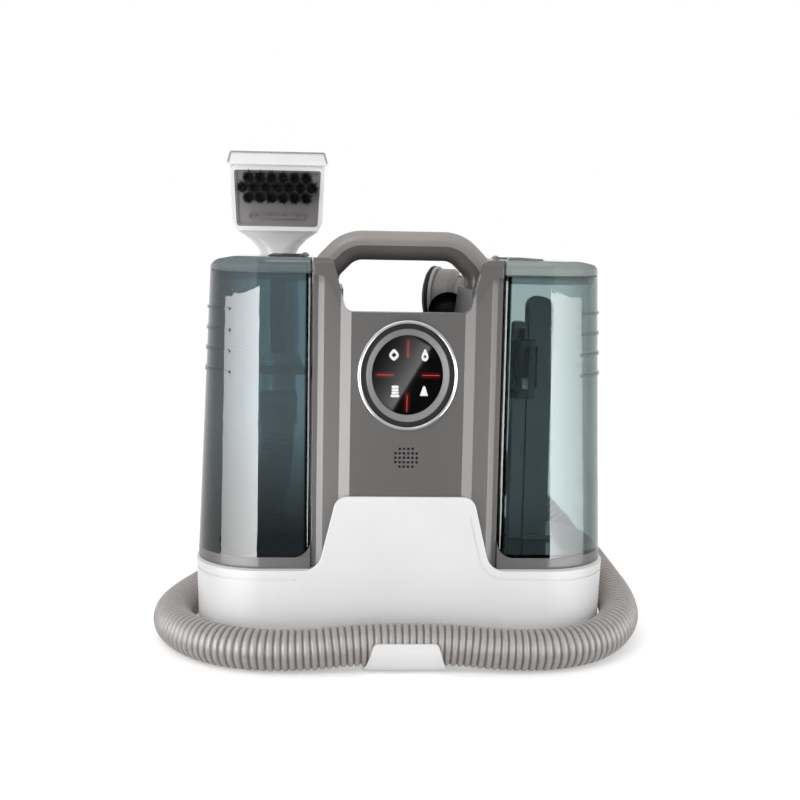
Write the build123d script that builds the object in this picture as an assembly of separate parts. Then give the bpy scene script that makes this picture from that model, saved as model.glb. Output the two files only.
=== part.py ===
"""Portable carpet cleaner: a base with two lift-off water tanks either side of a narrow
housing, a carry handle, a touch dial, and a suction hose wrapped round the foot of the base
that ends in a hand wand with a brush nozzle.

Millimetres. +X is the machine's right seen from the front, +Y points to its back and +Z up.
The origin is on the floor, under the middle of the machine.
"""
import math
import os

from build123d import *

# ---------------------------------------------------------------- driving dimensions
# Body, seen from above
HALF_WIDTH = 165.0          # at the foot of the tanks
TOP_HALF_WIDTH = 155.7      # at the shoulder of the tanks
FRONT = -80.0               # front of the tanks
REAR = 60.0                 # back of the tanks
FRONT_CORNER = 52.0
REAR_CORNER = 75.0
SPINE_HALF = 73.5           # half width of the housing between the tanks
BACK_HALF = 70.0            # half width of the back cover
BACK_REAR = 86.0            # back of the back cover
BACK_CORNER = 15.0
BASE_STEP = 7.0             # how far the base stands in front of the tanks
WALL = 3.0                  # moulded housing wall
TANK_WALL = 2.5

# Heights
BASE_BOTTOM = 7.0
BASE_TOP = 71.0
TRAY_TOP = 80.0
DECK_FRONT = 272.5          # floor of the hand gap
DECK_REAR = 261.0
CHEEK_TOP = 290.0           # where the handle legs stand
EAR_TOP = 314.0
TANK_RIM = 301.8
LID_BASE = 303.0
LID_TOP = 314.0
HANDLE_TOP = 335.3

# Front shield of the base
SHIELD_TOP = 130.0
SHIELD_HALF = 53.5          # half width at its top, before the corners are rounded
SHIELD_FOOT = 67.7          # half width where its sides meet the base's top edge
SHIELD_THICK = 2.7
SHIELD_RIM = 6.0            # the groove runs this far inside the shield's outline
GROOVE = 1.7

# Clearances
FIT = 0.3                   # between a mounted piece and its neighbour
RUN = 0.05                  # radial, round a turning or sliding pin
TANK_GAP = 0.5              # between a tank and the housing beside it

# Dial
DIAL_HALF_X = 38.5
DIAL_HALF_Z = 42.5
DIAL_HEIGHT = 225.0

# Hose
HOSE_R = 16.0
CUFF_R = 18.5
SWIVEL_AT = (46.0, 104.0)   # hose elbow, where the hose leaves the housing
ELBOW_HEIGHT = 277.0
ELBOW_MIDDLE = 48.0         # middle of the elbow's drum
ELBOW_TURN = 22.0           # its free end is turned this far to the back
HOSE_TOP = 240.0            # end of the hose under the elbow

# Wand, standing behind the clean tank
WAND_AT = (-107.0, 110.0)
WAND_FOOT = 158.0           # where the hose enters the wand's cuff
NECK_R = 15.0
GRIP_R = 18.0

# Turning pins
BAIL_PIN_R = 2.2
TRIGGER_PIN_R = 2.0
HOOK_STEM_R = 6.0
SHAFT_R = 4.0
CABLE_R = 3.6

COVER_FRONT = FRONT - 4.0               # flat face of the front cover
COVER_BACK = FRONT + 10.0
BASE_FRONT = FRONT - BASE_STEP
TANK_INNER = SPINE_HALF + TANK_GAP


# ---------------------------------------------------------------- shared shapes
def closed(points, radii):
    """Closed outline with one corner radius for each point, as a face on XY."""
    return make_face(FilletPolyline(*points, radius=radii, close=True))


def along_y(face, y_low, y_high):
    """Extrude a face drawn as (x, z) between two y values."""
    return extrude(Plane.XZ.offset(-y_high) * face, y_high - y_low)


def along_x(face, x_low, x_high):
    """Extrude a face drawn as (y, z) between two x values."""
    return extrude(Plane.YZ.offset(x_low) * face, x_high - x_low)


def along_z(face, z_low, z_high):
    return extrude(Pos(0, 0, z_low) * face, z_high - z_low)


def block(x_low, x_high, y_low, y_high, z_low, z_high):
    return Pos((x_low + x_high) / 2, (y_low + y_high) / 2, (z_low + z_high) / 2) * Box(
        x_high - x_low, y_high - y_low, z_high - z_low)


def rod(x, y, radius, z_low, z_high):
    return Pos(x, y, (z_low + z_high) / 2) * Cylinder(radius, z_high - z_low)


def rod_y(x, z, radius, y_low, y_high):
    return Pos(x, (y_low + y_high) / 2, z) * Rot(90, 0, 0) * Cylinder(radius, y_high - y_low)


def rod_x(y, z, radius, x_low, x_high):
    return Pos((x_low + x_high) / 2, y, z) * Rot(0, 90, 0) * Cylinder(radius, x_high - x_low)


def turned(profile, x, y):
    """Revolve an (r, z) outline about the upright axis at x, y."""
    face = make_face(Polyline(*profile, close=True))
    return Pos(x, y, 0) * revolve(Plane.XZ * face, Axis.Z)


def body_outline(grow):
    """Plan of the whole body: wide front, rounder back."""
    w, f, r = HALF_WIDTH + grow, FRONT - grow, REAR + grow
    return closed([(-w, f), (w, f), (w, r), (-w, r)],
                  [FRONT_CORNER + grow, FRONT_CORNER + grow, REAR_CORNER + grow, REAR_CORNER + grow])


def back_outline(grow, y_low):
    """Plan of the part that stands out behind, between the tanks."""
    w, r = BACK_HALF + grow, BACK_REAR + grow
    corner = BACK_CORNER + grow
    return closed([(-w, y_low), (w, y_low), (w, r), (-w, r)], [0.5, 0.5, corner, corner])


def wide_base(grow):
    """Plan of the base: the body pushed forward by the step at its front."""
    w, f, r = HALF_WIDTH + 1.0 + grow, BASE_FRONT - grow, REAR + 1.0 + grow
    front_corner, rear_corner = FRONT_CORNER + grow, REAR_CORNER + grow
    return closed([(-w, f), (w, f), (w, r), (-w, r)],
                  [front_corner, front_corner, rear_corner, rear_corner])


def base_outline(grow):
    return wide_base(grow) + back_outline(grow, 0.0)


# ---------------------------------------------------------------- base
def shield_outline():
    """Front view of the raised shield: steep sides that sweep out into the base's top edge."""
    right = [(SHIELD_FOOT + 25, BASE_TOP - 20), (SHIELD_FOOT + 25, BASE_TOP), (SHIELD_FOOT, BASE_TOP),
             (SHIELD_HALF, SHIELD_TOP)]
    left = [(-x, z) for x, z in reversed(right)]
    radii = [0.5, 0.5, 15.0, 10.5]
    return closed(right + left, radii + radii[::-1])


def drawn_in(outline, z_low, z_high, draft):
    """Loft an outline function from its drafted foot to its full size at the top."""
    return loft([Pos(0, 0, z_low) * outline(-draft), Pos(0, 0, z_high) * outline(0)])


def base_shell():
    """White lower shell, open underneath, with the shield rising in front of the column."""
    solid = drawn_in(wide_base, BASE_BOTTOM, BASE_TOP, BASE_DRAFT)
    solid = fillet(solid.faces().sort_by(Axis.Z)[0].edges(), 6.0)
    tail = along_z(back_outline(0, 0.0), BASE_BOTTOM, BASE_TOP)
    solid += fillet(tail.faces().sort_by(Axis.Z)[0].edges().sort_by(Axis.Y)[-3:], 4.0)
    shield = along_y(shield_outline(), BASE_FRONT, BASE_FRONT + SHIELD_THICK)
    edges = shield.faces().sort_by(Axis.Y)[0].edges().filter_by(lambda e: e.center().Z > BASE_TOP + 1)
    solid = solid + (fillet(edges, 0.9) - block(-100, 100, BASE_FRONT - 1, -70, 0, BASE_TOP - 1))
    solid -= along_z(base_outline(-BASE_LIP), BASE_BOTTOM - 1, BASE_BOTTOM + BASE_LIP)
    solid -= along_z(base_outline(-WALL - BASE_DRAFT), BASE_BOTTOM + BASE_LIP, BASE_TOP - WALL)
    # parting groove that follows the top edge and dies out on the shield's sides
    level = BASE_TOP - SHIELD_RIM - 1
    lean = (SHIELD_FOOT - SHIELD_HALF) / (SHIELD_TOP - BASE_TOP)
    inside = SHIELD_FOOT - SHIELD_RIM * math.hypot(1, lean)
    line = FilletPolyline((SHIELD_FOOT + 18, level), (inside + lean * (BASE_TOP - level), level),
                          (inside - lean * 42, BASE_TOP + 42), radius=15.0 + SHIELD_RIM)
    strip = trace(line, GROOVE)
    solid -= along_y(strip + mirror(strip, about=Plane.YZ), BASE_FRONT - 1, BASE_FRONT + 1.4)
    ring = along_z(base_outline(1), level - GROOVE / 2, level + GROOVE / 2)
    ring -= along_z(base_outline(-1.4), level - 1, level + 1)
    ring -= block(-SHIELD_FOOT - 17.5, SHIELD_FOOT + 17.5, BASE_FRONT - 2, 0, 0, 100)
    solid -= ring
    # cable opening at the back
    solid -= rod_y(GLAND_AT[0], GLAND_AT[1], GLAND_R + FIT, BACK_REAR - 10, BACK_REAR + 2)
    # openings under the two tank ports
    for side in (-1, 1):
        solid -= rod(side * PORT_X, PORT_Y, 9.0, BASE_TOP - 10, BASE_TOP + 1)
    return solid


def bottom_plate():
    """Plate that closes the base, with a flange that rests on the shell's inner ledge."""
    ledge = BASE_BOTTOM + BASE_LIP
    plate = along_z(base_outline(-BASE_LIP - FIT), BASE_BOTTOM, BASE_BOTTOM + WALL)
    for x in range(-60, 61, 20):
        plate -= Pos(x, 10, BASE_BOTTOM - 1) * extrude(SlotOverall(50, 4, rotation=90), WALL + 2)
    plate += along_z(base_outline(-BASE_LIP - FIT) - base_outline(-BASE_LIP - 4), BASE_BOTTOM, ledge)
    plate += along_z(base_outline(-WALL - BASE_DRAFT - FIT) - base_outline(-BASE_LIP - 4),
                     ledge, ledge + 1.5)
    for x, y in FOOT_SPOTS:
        plate += rod(x, y, 8, BASE_BOTTOM, ledge)
    return plate


BASE_LIP = 9.0                  # width and height of the shell's inward lip
BASE_DRAFT = 2.0
FOOT_SPOTS = [(-105, -45), (105, -45), (-95, 12), (95, 12)]


def rubber_feet():
    feet = []
    for x, y in FOOT_SPOTS:
        feet.append(turned([(0, 0), (9, 0), (11, 1.5), (11.5, BASE_BOTTOM), (0, BASE_BOTTOM)], x, y))
    return Compound(feet)


CRADLE_HOSE = (-111.0, 20.6)    # hose centre (y, z) in the cradle
CRADLE_WALL = 3.0
CRADLE_R = HOSE_R + 1.0
CRADLE_FRONT = CRADLE_HOSE[0] - CRADLE_R - CRADLE_WALL


def hose_cradle():
    """J-shaped hook under the front edge that holds the hose off the floor."""
    y, z = CRADLE_HOSE
    inner = CRADLE_R
    outer = CRADLE_R + CRADLE_WALL
    top = 26.0
    side = make_face(Polyline((CRADLE_FRONT, z), (CRADLE_FRONT, top), (CRADLE_FRONT + CRADLE_WALL, top),
                              (CRADLE_FRONT + CRADLE_WALL, z)) +
                     RadiusArc((CRADLE_FRONT + CRADLE_WALL, z), (y, z - inner), -inner) +
                     Polyline((y, z - inner), (BASE_FRONT - 3, z - inner), (BASE_FRONT + 2, BASE_BOTTOM),
                              (BASE_FRONT + 42, BASE_BOTTOM), (BASE_FRONT + 42, z - outer),
                              (y, z - outer)) +
                     RadiusArc((y, z - outer), (CRADLE_FRONT, z), outer))
    hook = along_x(side, -40, 40)
    front_view = closed([(-32.6, -1), (32.6, -1), (24.2, top), (-24.2, top)], [0.4, 0.4, 4.0, 4.0])
    return hook & along_y(front_view, CRADLE_FRONT - 5, BASE_FRONT + 60)


# ---------------------------------------------------------------- housing
PORT_X = 105.0                  # tank ports in the tray
PORT_Y = -10.0
TANK_CORNER = 14.0              # lower inner corner of each tank


def deck_height(y):
    """Floor of the hand gap falls slowly to the back."""
    share = (y - COVER_BACK) / (REAR + 10 - COVER_BACK)
    return DECK_FRONT + (DECK_REAR - DECK_FRONT) * share


SPINE_REAR = REAR + 10.0


def main_housing():
    """Tray that carries the tanks, and the hollow column between them with its two cheeks."""
    tray = along_z(body_outline(0) + back_outline(0, 0.0), BASE_TOP, TRAY_TOP)
    column = block(-SPINE_HALF, SPINE_HALF, COVER_BACK, SPINE_REAR, TRAY_TOP, CHEEK_TOP)
    # quarter-round seats under the inner corners of the tanks
    seat = TANK_CORNER - TANK_GAP
    seats = []
    for side in (-1, 1):
        x = side * (SPINE_HALF + seat)
        corner = block(min(x, side * SPINE_HALF), max(x, side * SPINE_HALF), FRONT + 0.5, REAR - 1,
                       TRAY_TOP, TRAY_TOP + seat)
        seats.append(corner - rod_y(x, TRAY_TOP + seat, seat, FRONT - 5, REAR + 5))
    solid = tray + column + seats
    # room for the front cover's foot
    solid -= block(-SPINE_HALF - 0.1, SPINE_HALF + 0.1, FRONT - 5, COVER_BACK, BASE_TOP - 1, TRAY_TOP + 40)
    # cheeks fall to the deck at the back
    falling = Polyline((35, CHEEK_TOP + 1), (35, CHEEK_TOP), (SPINE_REAR + 1, DECK_REAR),
                       (SPINE_REAR + 1, CHEEK_TOP + 1), close=True)
    solid -= along_x(make_face(falling), -100, 100)
    # hand gap between the cheeks
    gap_floor = Polyline((COVER_BACK - 1, deck_height(COVER_BACK - 1)),
                         (SPINE_REAR + 1, deck_height(SPINE_REAR + 1)),
                         (SPINE_REAR + 1, CHEEK_TOP + 5), (COVER_BACK - 1, CHEEK_TOP + 5), close=True)
    solid -= along_x(make_face(gap_floor), -CHEEK_INNER, CHEEK_INNER)
    # hollow inside, open to the front cover and the back cover
    hollow = Polyline((COVER_BACK - 1, TRAY_TOP), (COVER_BACK - 1, DECK_FRONT - WALL),
                      (SPINE_REAR + 1, DECK_REAR - WALL), (SPINE_REAR + 1, TRAY_TOP), close=True)
    solid -= along_x(make_face(hollow), -SPINE_HALF + WALL, SPINE_HALF - WALL)
    for side in (-1, 1):
        solid -= rod(side * PORT_X, PORT_Y, 9.0, BASE_TOP - 1, TRAY_TOP + 1)
    return solid


CHEEK_INNER = 50.0


RIM_FRONT = FRONT - 0.4         # flat of the two ears and of the rim round the hand gap


def both_sides(right, radii):
    """Face whose right half has these corners, and its left half the same mirrored."""
    left = [(-a, b) for a, b in reversed(right)]
    return closed(right + left, radii + radii[::-1])


def cover_plan(steps, radii):
    """Plan of the front cover: flat face, bevels, then the given points out to the tanks."""
    edge = SPINE_HALF - 0.1
    return both_sides([(edge, COVER_BACK)] + steps + [(52.0, RIM_FRONT), (43.8, COVER_FRONT)],
                      [0.5] + radii + [3.0, 1.0])


def cover_top():
    """Front view of what is cut away above the ears and between them."""
    top = EAR_TOP - 0.1
    return both_sides([(47.5, DECK_FRONT + 0.6), (58.3, top), (80, top), (80, EAR_TOP + 20)],
                      [7.0, 7.0, 0.5, 0.5])


def front_cover():
    """Front moulding: dial plate, and a stepped channel each side framed by the ear and its rim."""
    edge = SPINE_HALF - 0.1
    solid = along_z(cover_plan([(edge, RIM_FRONT)], [1.5]), BASE_TOP + 0.3, EAR_TOP)
    channel = closed([(52.0, 60), (90, 60), (90, 300.5), (65.0, 300.5), (57.5, 288), (52.0, 276)],
                     [0.5, 0.5, 0.5, 6.0, 14.0, 6.0])
    for side in (channel, mirror(channel, about=Plane.YZ)):
        solid -= along_y(side, FRONT - 10, COVER_BACK - 1)
    solid += along_z(cover_plan([(edge, FRONT + 3.2), (69.0, FRONT + 3.2), (64.8, FRONT + 0.8)],
                                [0.8, 1.5, 1.5]), BASE_TOP + 0.3, EAR_TOP)
    solid -= along_y(cover_top(), FRONT - 10, COVER_BACK + 5)
    # hollow behind the flat face and behind each S-shaped side, open to the back
    solid -= block(-44, 44, COVER_FRONT + WALL, COVER_BACK + 1, TRAY_TOP + 4, DECK_FRONT - WALL)
    for side in (-1, 1):
        low, high = sorted((side * 46.5, side * (SPINE_HALF - WALL)))
        solid -= block(low, high, FRONT + 6.0, COVER_BACK + 1, TRAY_TOP + 4, CHEEK_TOP - 8)
    solid -= along_y(Pos(0, DIAL_HEIGHT) * Ellipse(DIAL_HALF_X - 4, DIAL_HALF_Z - 4),
                     COVER_FRONT - 1, COVER_FRONT + WALL + 1)
    solid -= speaker_holes()
    # small moulded mark over the dial
    solid -= along_y(Pos(0, DIAL_HEIGHT + DIAL_HALF_Z + 1) * RectangleRounded(19, 4.4, 1.6),
                     COVER_FRONT - 1, COVER_FRONT + 0.5)
    # the ears roll over to the back at their top
    roll = 6.1
    brow = block(-90, 90, FRONT - 10, RIM_FRONT + roll, EAR_TOP - roll, EAR_TOP + 1)
    return solid - (brow - rod_x(RIM_FRONT + roll, EAR_TOP - roll, roll, -91, 91))


def speaker_holes():
    """Five short rows of sound holes under the dial."""
    pitch_x, pitch_z, centre_z = 3.3, 3.5, 160.7
    holes = []
    for row, count in enumerate([4, 6, 6, 6, 4]):
        z = centre_z + (2 - row) * pitch_z
        for i in range(count):
            x = (i - (count - 1) / 2) * pitch_x
            holes.append(rod_y(x, z, 1.0, COVER_FRONT - 1, COVER_FRONT + WALL + 1))
    return holes


TOWER = (58.5, 76.0)            # x range of the pad that carries the hose elbow


def back_cover():
    """Rear cover with the exhaust opening and the pad that carries the hose elbow."""
    y_low = SPINE_REAR
    solid = along_z(back_outline(0, y_low), TRAY_TOP, DECK_REAR)
    inner = closed([(-BACK_HALF + WALL, y_low - 1), (BACK_HALF - WALL, y_low - 1),
                    (BACK_HALF - WALL, BACK_REAR - WALL), (-BACK_HALF + WALL, BACK_REAR - WALL)],
                   [0.5, 0.5, BACK_CORNER - WALL, BACK_CORNER - WALL])
    solid -= along_z(inner, TRAY_TOP + WALL, DECK_REAR - WALL)
    x, y = SWIVEL_AT
    pad = rod_x(y, ELBOW_HEIGHT, 20.0, *TOWER) + block(*TOWER, y - 20, y + 20, 215, ELBOW_HEIGHT)
    pad += block(*TOWER, SPINE_REAR, y, 215, ELBOW_HEIGHT - 8)
    under = Polyline((BACK_REAR, 214), (y + 21, 214), (y + 21, 250), close=True)
    solid += pad - along_x(make_face(under), 50, 80) - elbow_mouth() - boot_dome(FIT) - rod(
        x, y, SWIVEL_R + SWIVEL_ROOM, 200, BOOT_LOW + 0.1)
    # exhaust opening and its recess
    solid -= block(-GRILLE_HALF + 3, GRILLE_HALF - 3, BACK_REAR - 5, BACK_REAR + 1, 133, 187)
    solid -= block(-GRILLE_HALF, GRILLE_HALF, BACK_REAR - 1.6, BACK_REAR + 1, 130, 190)
    # bearing for the turning cord hook
    hook_z = HOOK_HEIGHTS[0]
    solid += rod_y(0, hook_z, HOOK_STEM_R + 5, BACK_REAR - 12, BACK_REAR)
    solid -= rod_y(0, hook_z, HOOK_STEM_R + RUN, BACK_REAR - 13, BACK_REAR + 1)
    # posts that hold the main board
    for px, pz in BOARD_POSTS:
        solid += rod_y(px, pz, 3.0, SPINE_REAR + 1, BACK_REAR - WALL)
    return solid


GRILLE_HALF = 38.0
HOOK_HEIGHTS = (222.0, 103.0)
BOARD_POSTS = [(-48, 140), (-48, 196), (46, 196), (46, 140)]


def exhaust_grille():
    """Louvred panel let into the back cover."""
    panel = block(-GRILLE_HALF + FIT, GRILLE_HALF - FIT, BACK_REAR - 1.6, BACK_REAR + 0.8,
                  130 + FIT, 190 - FIT)
    panel = fillet(panel.edges().filter_by(Axis.Y), 2.0)
    pitch = 7.0
    for i in range(8):
        z = 160 + (i - 3.5) * pitch
        panel -= block(-GRILLE_HALF + 6, GRILLE_HALF - 6, BACK_REAR - 3, BACK_REAR + 2, z - 1.8, z + 1.8)
    panel += block(-1.5, 1.5, BACK_REAR - 1.6, BACK_REAR + 0.8, 135, 185)
    return panel


# ---------------------------------------------------------------- carry handle
HANDLE_Y = 10.0
HANDLE_HALF_DEPTH = 16.0
HANDLE_THICK = 24.0


def handle_half(outer):
    """Upper or lower moulding of the arch, split along its middle."""
    centre = HANDLE_TOP - HANDLE_THICK / 2
    leg_x = 65.0
    corners = [(-leg_x, CHEEK_TOP), (-leg_x, 302.5), (-44.5, centre), (44.5, centre), (leg_x, 302.5),
               (leg_x, CHEEK_TOP)]
    path = FilletPolyline(*[(x, HANDLE_Y, z) for x, z in corners], radius=[20, 26, 26, 20])
    # the section's own x runs along Y, so its y points in or out of the arch
    plane = Plane(origin=path @ 0, x_dir=(0, 1, 0), z_dir=path % 0)
    section = RectangleRounded(2 * HANDLE_HALF_DEPTH, HANDLE_THICK, 9.5)
    outwards = plane.y_dir.X < 0
    shift = HANDLE_THICK / 2 if outwards == outer else -HANDLE_THICK / 2
    half = section & Pos(0, shift) * Rectangle(100, HANDLE_THICK)
    arch = sweep(plane * half, path=path)
    side = SPINE_HALF - 0.2
    return arch - block(side, side + 20, -50, 60, 280, 340) - block(-side - 20, -side, -50, 60, 280, 340)


# ---------------------------------------------------------------- dial
def ring_of(half_x, half_z, width, y_low, y_high):
    outer, inner = Ellipse(half_x, half_z), Ellipse(half_x - width, half_z - width)
    return along_y(Pos(0, DIAL_HEIGHT) * (outer - inner), y_low, y_high)


def oval_cone(front, back, y_front, y_back):
    """Tapered oval plug between two oval sections, each (half width, half height)."""
    return loft([Plane.XZ.offset(-y_front) * (Pos(0, DIAL_HEIGHT) * Ellipse(*front)),
                 Plane.XZ.offset(-y_back) * (Pos(0, DIAL_HEIGHT) * Ellipse(*back))])


def dial_ring():
    """Bright outer ring with a rounded front."""
    ring = ring_of(DIAL_HALF_X, DIAL_HALF_Z, 2.4, COVER_FRONT - 3.2, COVER_FRONT)
    return fillet(ring.faces().sort_by(Axis.Y)[0].edges(), 0.9)


def dial_bezel():
    """Dark seat and bevelled inner ring that the glass lies in."""
    half_x, half_z = DIAL_HALF_X - 2.4 - FIT, DIAL_HALF_Z - 2.4 - FIT
    y_face, y_glass = COVER_FRONT - 2.0, COVER_FRONT + 1.6
    rim = ring_of(half_x, half_z, 5.0, y_face, COVER_FRONT)
    cup = along_y(Pos(0, DIAL_HEIGHT) * Ellipse(DIAL_HALF_X - 4 - FIT, DIAL_HALF_Z - 4 - FIT),
                  COVER_FRONT - 1, COVER_FRONT + WALL + 2)
    solid = rim + cup
    solid -= oval_cone((half_x - 3.4, half_z - 3.4), (27.6, 31.0), y_face - 0.01, y_glass)
    solid -= along_y(Pos(0, DIAL_HEIGHT) * Ellipse(27.6, 31.0), y_glass - 0.1, y_glass + 2.0)
    solid -= along_y(Pos(0, DIAL_HEIGHT) * Ellipse(22, 25), y_glass, COVER_FRONT + WALL + 3)
    return solid


def touch_glass():
    y_glass = COVER_FRONT + 1.6
    return along_y(Pos(0, DIAL_HEIGHT) * Ellipse(27.6 - FIT, 31.0 - FIT), y_glass, y_glass + 2.0)


def control_board():
    y = COVER_FRONT + WALL + 2
    board = block(-31, 31, y, y + 1.6, DIAL_HEIGHT - 34, DIAL_HEIGHT + 34)
    board += block(-24, 24, y + 1.6, y + 4.0, DIAL_HEIGHT - 28, DIAL_HEIGHT - 14)
    board += block(-12, 12, y + 1.6, y + 3.2, DIAL_HEIGHT + 5, DIAL_HEIGHT + 22)
    return board


def speaker():
    y = COVER_FRONT + WALL
    return along_y(Pos(0, 160.7) * Circle(14), y, y + 3) + along_y(Pos(0, 160.7) * Circle(8), y + 3, y + 9)


# ---------------------------------------------------------------- tanks (drawn on +X)
def tank_half_width(z):
    share = (z - TRAY_TOP) / (LID_BASE - TRAY_TOP)
    return HALF_WIDTH + (TOP_HALF_WIDTH - HALF_WIDTH) * share


def tank_outline(inset, z):
    """Plan of a tank at height z, moved in by inset all round."""
    x0, x1 = TANK_INNER + inset, tank_half_width(z) - inset
    y0, y1 = FRONT + inset, REAR - inset
    inner = max(4.0 - inset, 1.5)
    return closed([(x0, y0), (x1, y0), (x1, y1), (x0, y1)],
                  [inner, FRONT_CORNER - inset, REAR_CORNER - inset, inner])


def tank_block(inset, z_low, z_high):
    """Tapering block with the tank's rounded lower inner corner."""
    solid = loft([Pos(0, 0, z_low) * tank_outline(inset, z_low),
                  Pos(0, 0, z_high) * tank_outline(inset, z_high)])
    radius = TANK_CORNER - inset
    cx, cz = TANK_INNER + TANK_CORNER, TRAY_TOP + TANK_CORNER
    corner = block(TANK_INNER - 1, cx, FRONT - 1, REAR + 1, TRAY_TOP - 1, cz)
    corner -= rod_y(cx, cz, radius, FRONT - 2, REAR + 2)
    return solid - corner


def grip_ribs():
    """Four short ribs on the outer side that fingers pull against."""
    ribs = []
    for z in (224.5, 240.8, 257.0, 273.2):
        rib = along_z(tank_outline(-1.2, z), z - 1.1, z + 1.1)
        ribs.append(rib & block(138, 200, FRONT - 5, 22, z - 3, z + 3))
    return ribs


def tank_shell():
    outer = tank_block(0, TRAY_TOP, TANK_RIM) + grip_ribs()
    outer -= tank_block(TANK_WALL, TRAY_TOP + TANK_WALL, TANK_RIM + 0.01)
    # low step in the floor, seen as a line through the wall
    return outer - rod(PORT_X, PORT_Y, PORT_R, TRAY_TOP - 1, TRAY_TOP + TANK_WALL + 1)


PORT_R = 8.0


def tank_lid():
    """Clear lid: rounded cover, skirt that plugs the tank, ears for the bail."""
    x_out = tank_half_width(LID_BASE)
    plan = tank_outline(0, LID_BASE)
    solid = along_z(plan, LID_BASE, LID_TOP)
    front_view = closed([(TANK_INNER - 1, LID_BASE - 20), (x_out, LID_BASE - 20), (x_out, LID_BASE + 2),
                         (x_out - 6.5, LID_TOP - 3), (x_out - 22, LID_TOP), (TANK_INNER - 1, LID_TOP)],
                        [0.5, 0.5, 4.0, 12.0, 30.0, 0.5])
    side_view = closed([(FRONT, LID_BASE - 20), (REAR, LID_BASE - 20), (REAR, LID_TOP), (FRONT, LID_TOP)],
                       [0.5, 0.5, 7.0, 5.0])
    solid = solid & along_y(front_view, FRONT - 5, REAR + 5) & along_x(side_view, 60, 200)
    skirt = TANK_WALL + FIT
    pocket = along_z(tank_outline(skirt + 2.2, LID_BASE), LID_BASE - 8, LID_TOP - 6)
    solid += along_z(tank_outline(skirt, LID_BASE), LID_BASE - 7, LID_BASE)
    solid -= pocket
    # shallow well for the folded bail
    solid -= block(BAIL_X - 4.0, BAIL_X + 29, BAIL_Y[0] - FIT, BAIL_Y[1] + FIT, BAIL_HEIGHT - 2.6, LID_TOP + 1)
    for y_low, y_high in bail_ears():
        solid += rod_y(BAIL_X, BAIL_HEIGHT, 3.6, y_low, y_high)
        solid -= rod_y(BAIL_X, BAIL_HEIGHT, BAIL_PIN_R + RUN, y_low - 0.5, y_high + 0.5)
    return solid


BAIL_X = 81.5                   # hinge line of the bail
BAIL_HEIGHT = LID_TOP - 1.2
BAIL_Y = (-54.0, 34.0)          # outer faces of its arms


def bail_ears():
    gap, length = 0.3, 4.0
    return [(BAIL_Y[0] - gap - length, BAIL_Y[0] - gap), (BAIL_Y[1] + gap, BAIL_Y[1] + gap + length)]


def tank_seal():
    ring = tank_outline(0.5, LID_BASE) - tank_outline(TANK_WALL - 0.1, LID_BASE)
    return along_z(ring, TANK_RIM, LID_BASE)


def tank_bail():
    """Folding U-shaped lifting handle, lying in the lid's well."""
    thick, arm, reach = 4.4, 7.0, 27.0
    y0, y1 = BAIL_Y
    frame = closed([(BAIL_X, y0), (BAIL_X + reach, y0), (BAIL_X + reach, y1), (BAIL_X, y1)],
                   [0.3, 7.0, 7.0, 0.3])
    hole = closed([(BAIL_X - 1, y0 + arm), (BAIL_X + reach - 8.5, y0 + arm),
                   (BAIL_X + reach - 8.5, y1 - arm), (BAIL_X - 1, y1 - arm)], [0.3, 4.0, 4.0, 0.3])
    bail = along_z(frame - hole, BAIL_HEIGHT - thick / 2, BAIL_HEIGHT + thick / 2)
    for y_low in (y0, y1 - arm):
        bail += rod_y(BAIL_X, BAIL_HEIGHT, thick / 2, y_low, y_low + arm)
    for (low, high), face in zip(bail_ears(), BAIL_Y):
        tip = low + 0.4 if face == y0 else high - 0.4
        bail += rod_y(BAIL_X, BAIL_HEIGHT, BAIL_PIN_R, min(tip, face), max(tip, face))
    return bail


# clean tank valve, at the port on -X
TANK_FLOOR = TRAY_TOP + TANK_WALL
VALVE_SEAT = TANK_FLOOR + 2.0
VALVE_LIFT = 3.5


def valve_body():
    """Cage screwed into the clean tank's port, with the seat below and a guide above."""
    collar = TANK_FLOOR + 3.0
    cage = turned([(5.0, TRAY_TOP + 0.5), (PORT_R - FIT, TRAY_TOP + 0.5), (PORT_R - FIT, TANK_FLOOR),
                   (13, TANK_FLOOR), (13, collar), (9.5, collar), (9.5, 103), (2.0 + RUN, 103),
                   (2.0 + RUN, 100.5), (7.6, 100.5), (7.6, VALVE_SEAT), (5.0, VALVE_SEAT)],
                  -PORT_X, PORT_Y)
    for angle in (0, 90):
        window = Pos(-PORT_X, PORT_Y, 93) * Rot(0, 0, angle) * Box(30, 7, 11)
        cage -= window
    return cage


def valve_poppet():
    return turned([(0, TRAY_TOP + 1.0), (1.6, TRAY_TOP + 1.0), (2.0, 82), (2.0, VALVE_SEAT), (6.6, VALVE_SEAT),
                   (6.6, VALVE_SEAT + 2.2), (2.0, VALVE_SEAT + 3.4), (2.0, 105.5), (0, 105.5)],
                  -PORT_X, PORT_Y)


def coil(radius, wire, pitch, z_low, z_high, x, y):
    """Open coil spring standing upright."""
    height = z_high - z_low - 2 * wire
    path = Helix(pitch=pitch, height=height, radius=radius)
    start = Plane(origin=path @ 0, z_dir=path % 0)
    return Pos(x, y, z_low + wire) * sweep(start * Circle(wire), path=path)


def valve_spring():
    return coil(4.4, 0.5, 3.0, VALVE_SEAT + 3.2, 100.3, -PORT_X, PORT_Y)


# ---------------------------------------------------------------- dirty tank insides
RISER = (103.0, 123.0, -22.0, 2.0)
AIR_DUCT = (91.5, 102.4, -20.0, 0.0)
FLOAT_AT = (97.0, -37.0)


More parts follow.
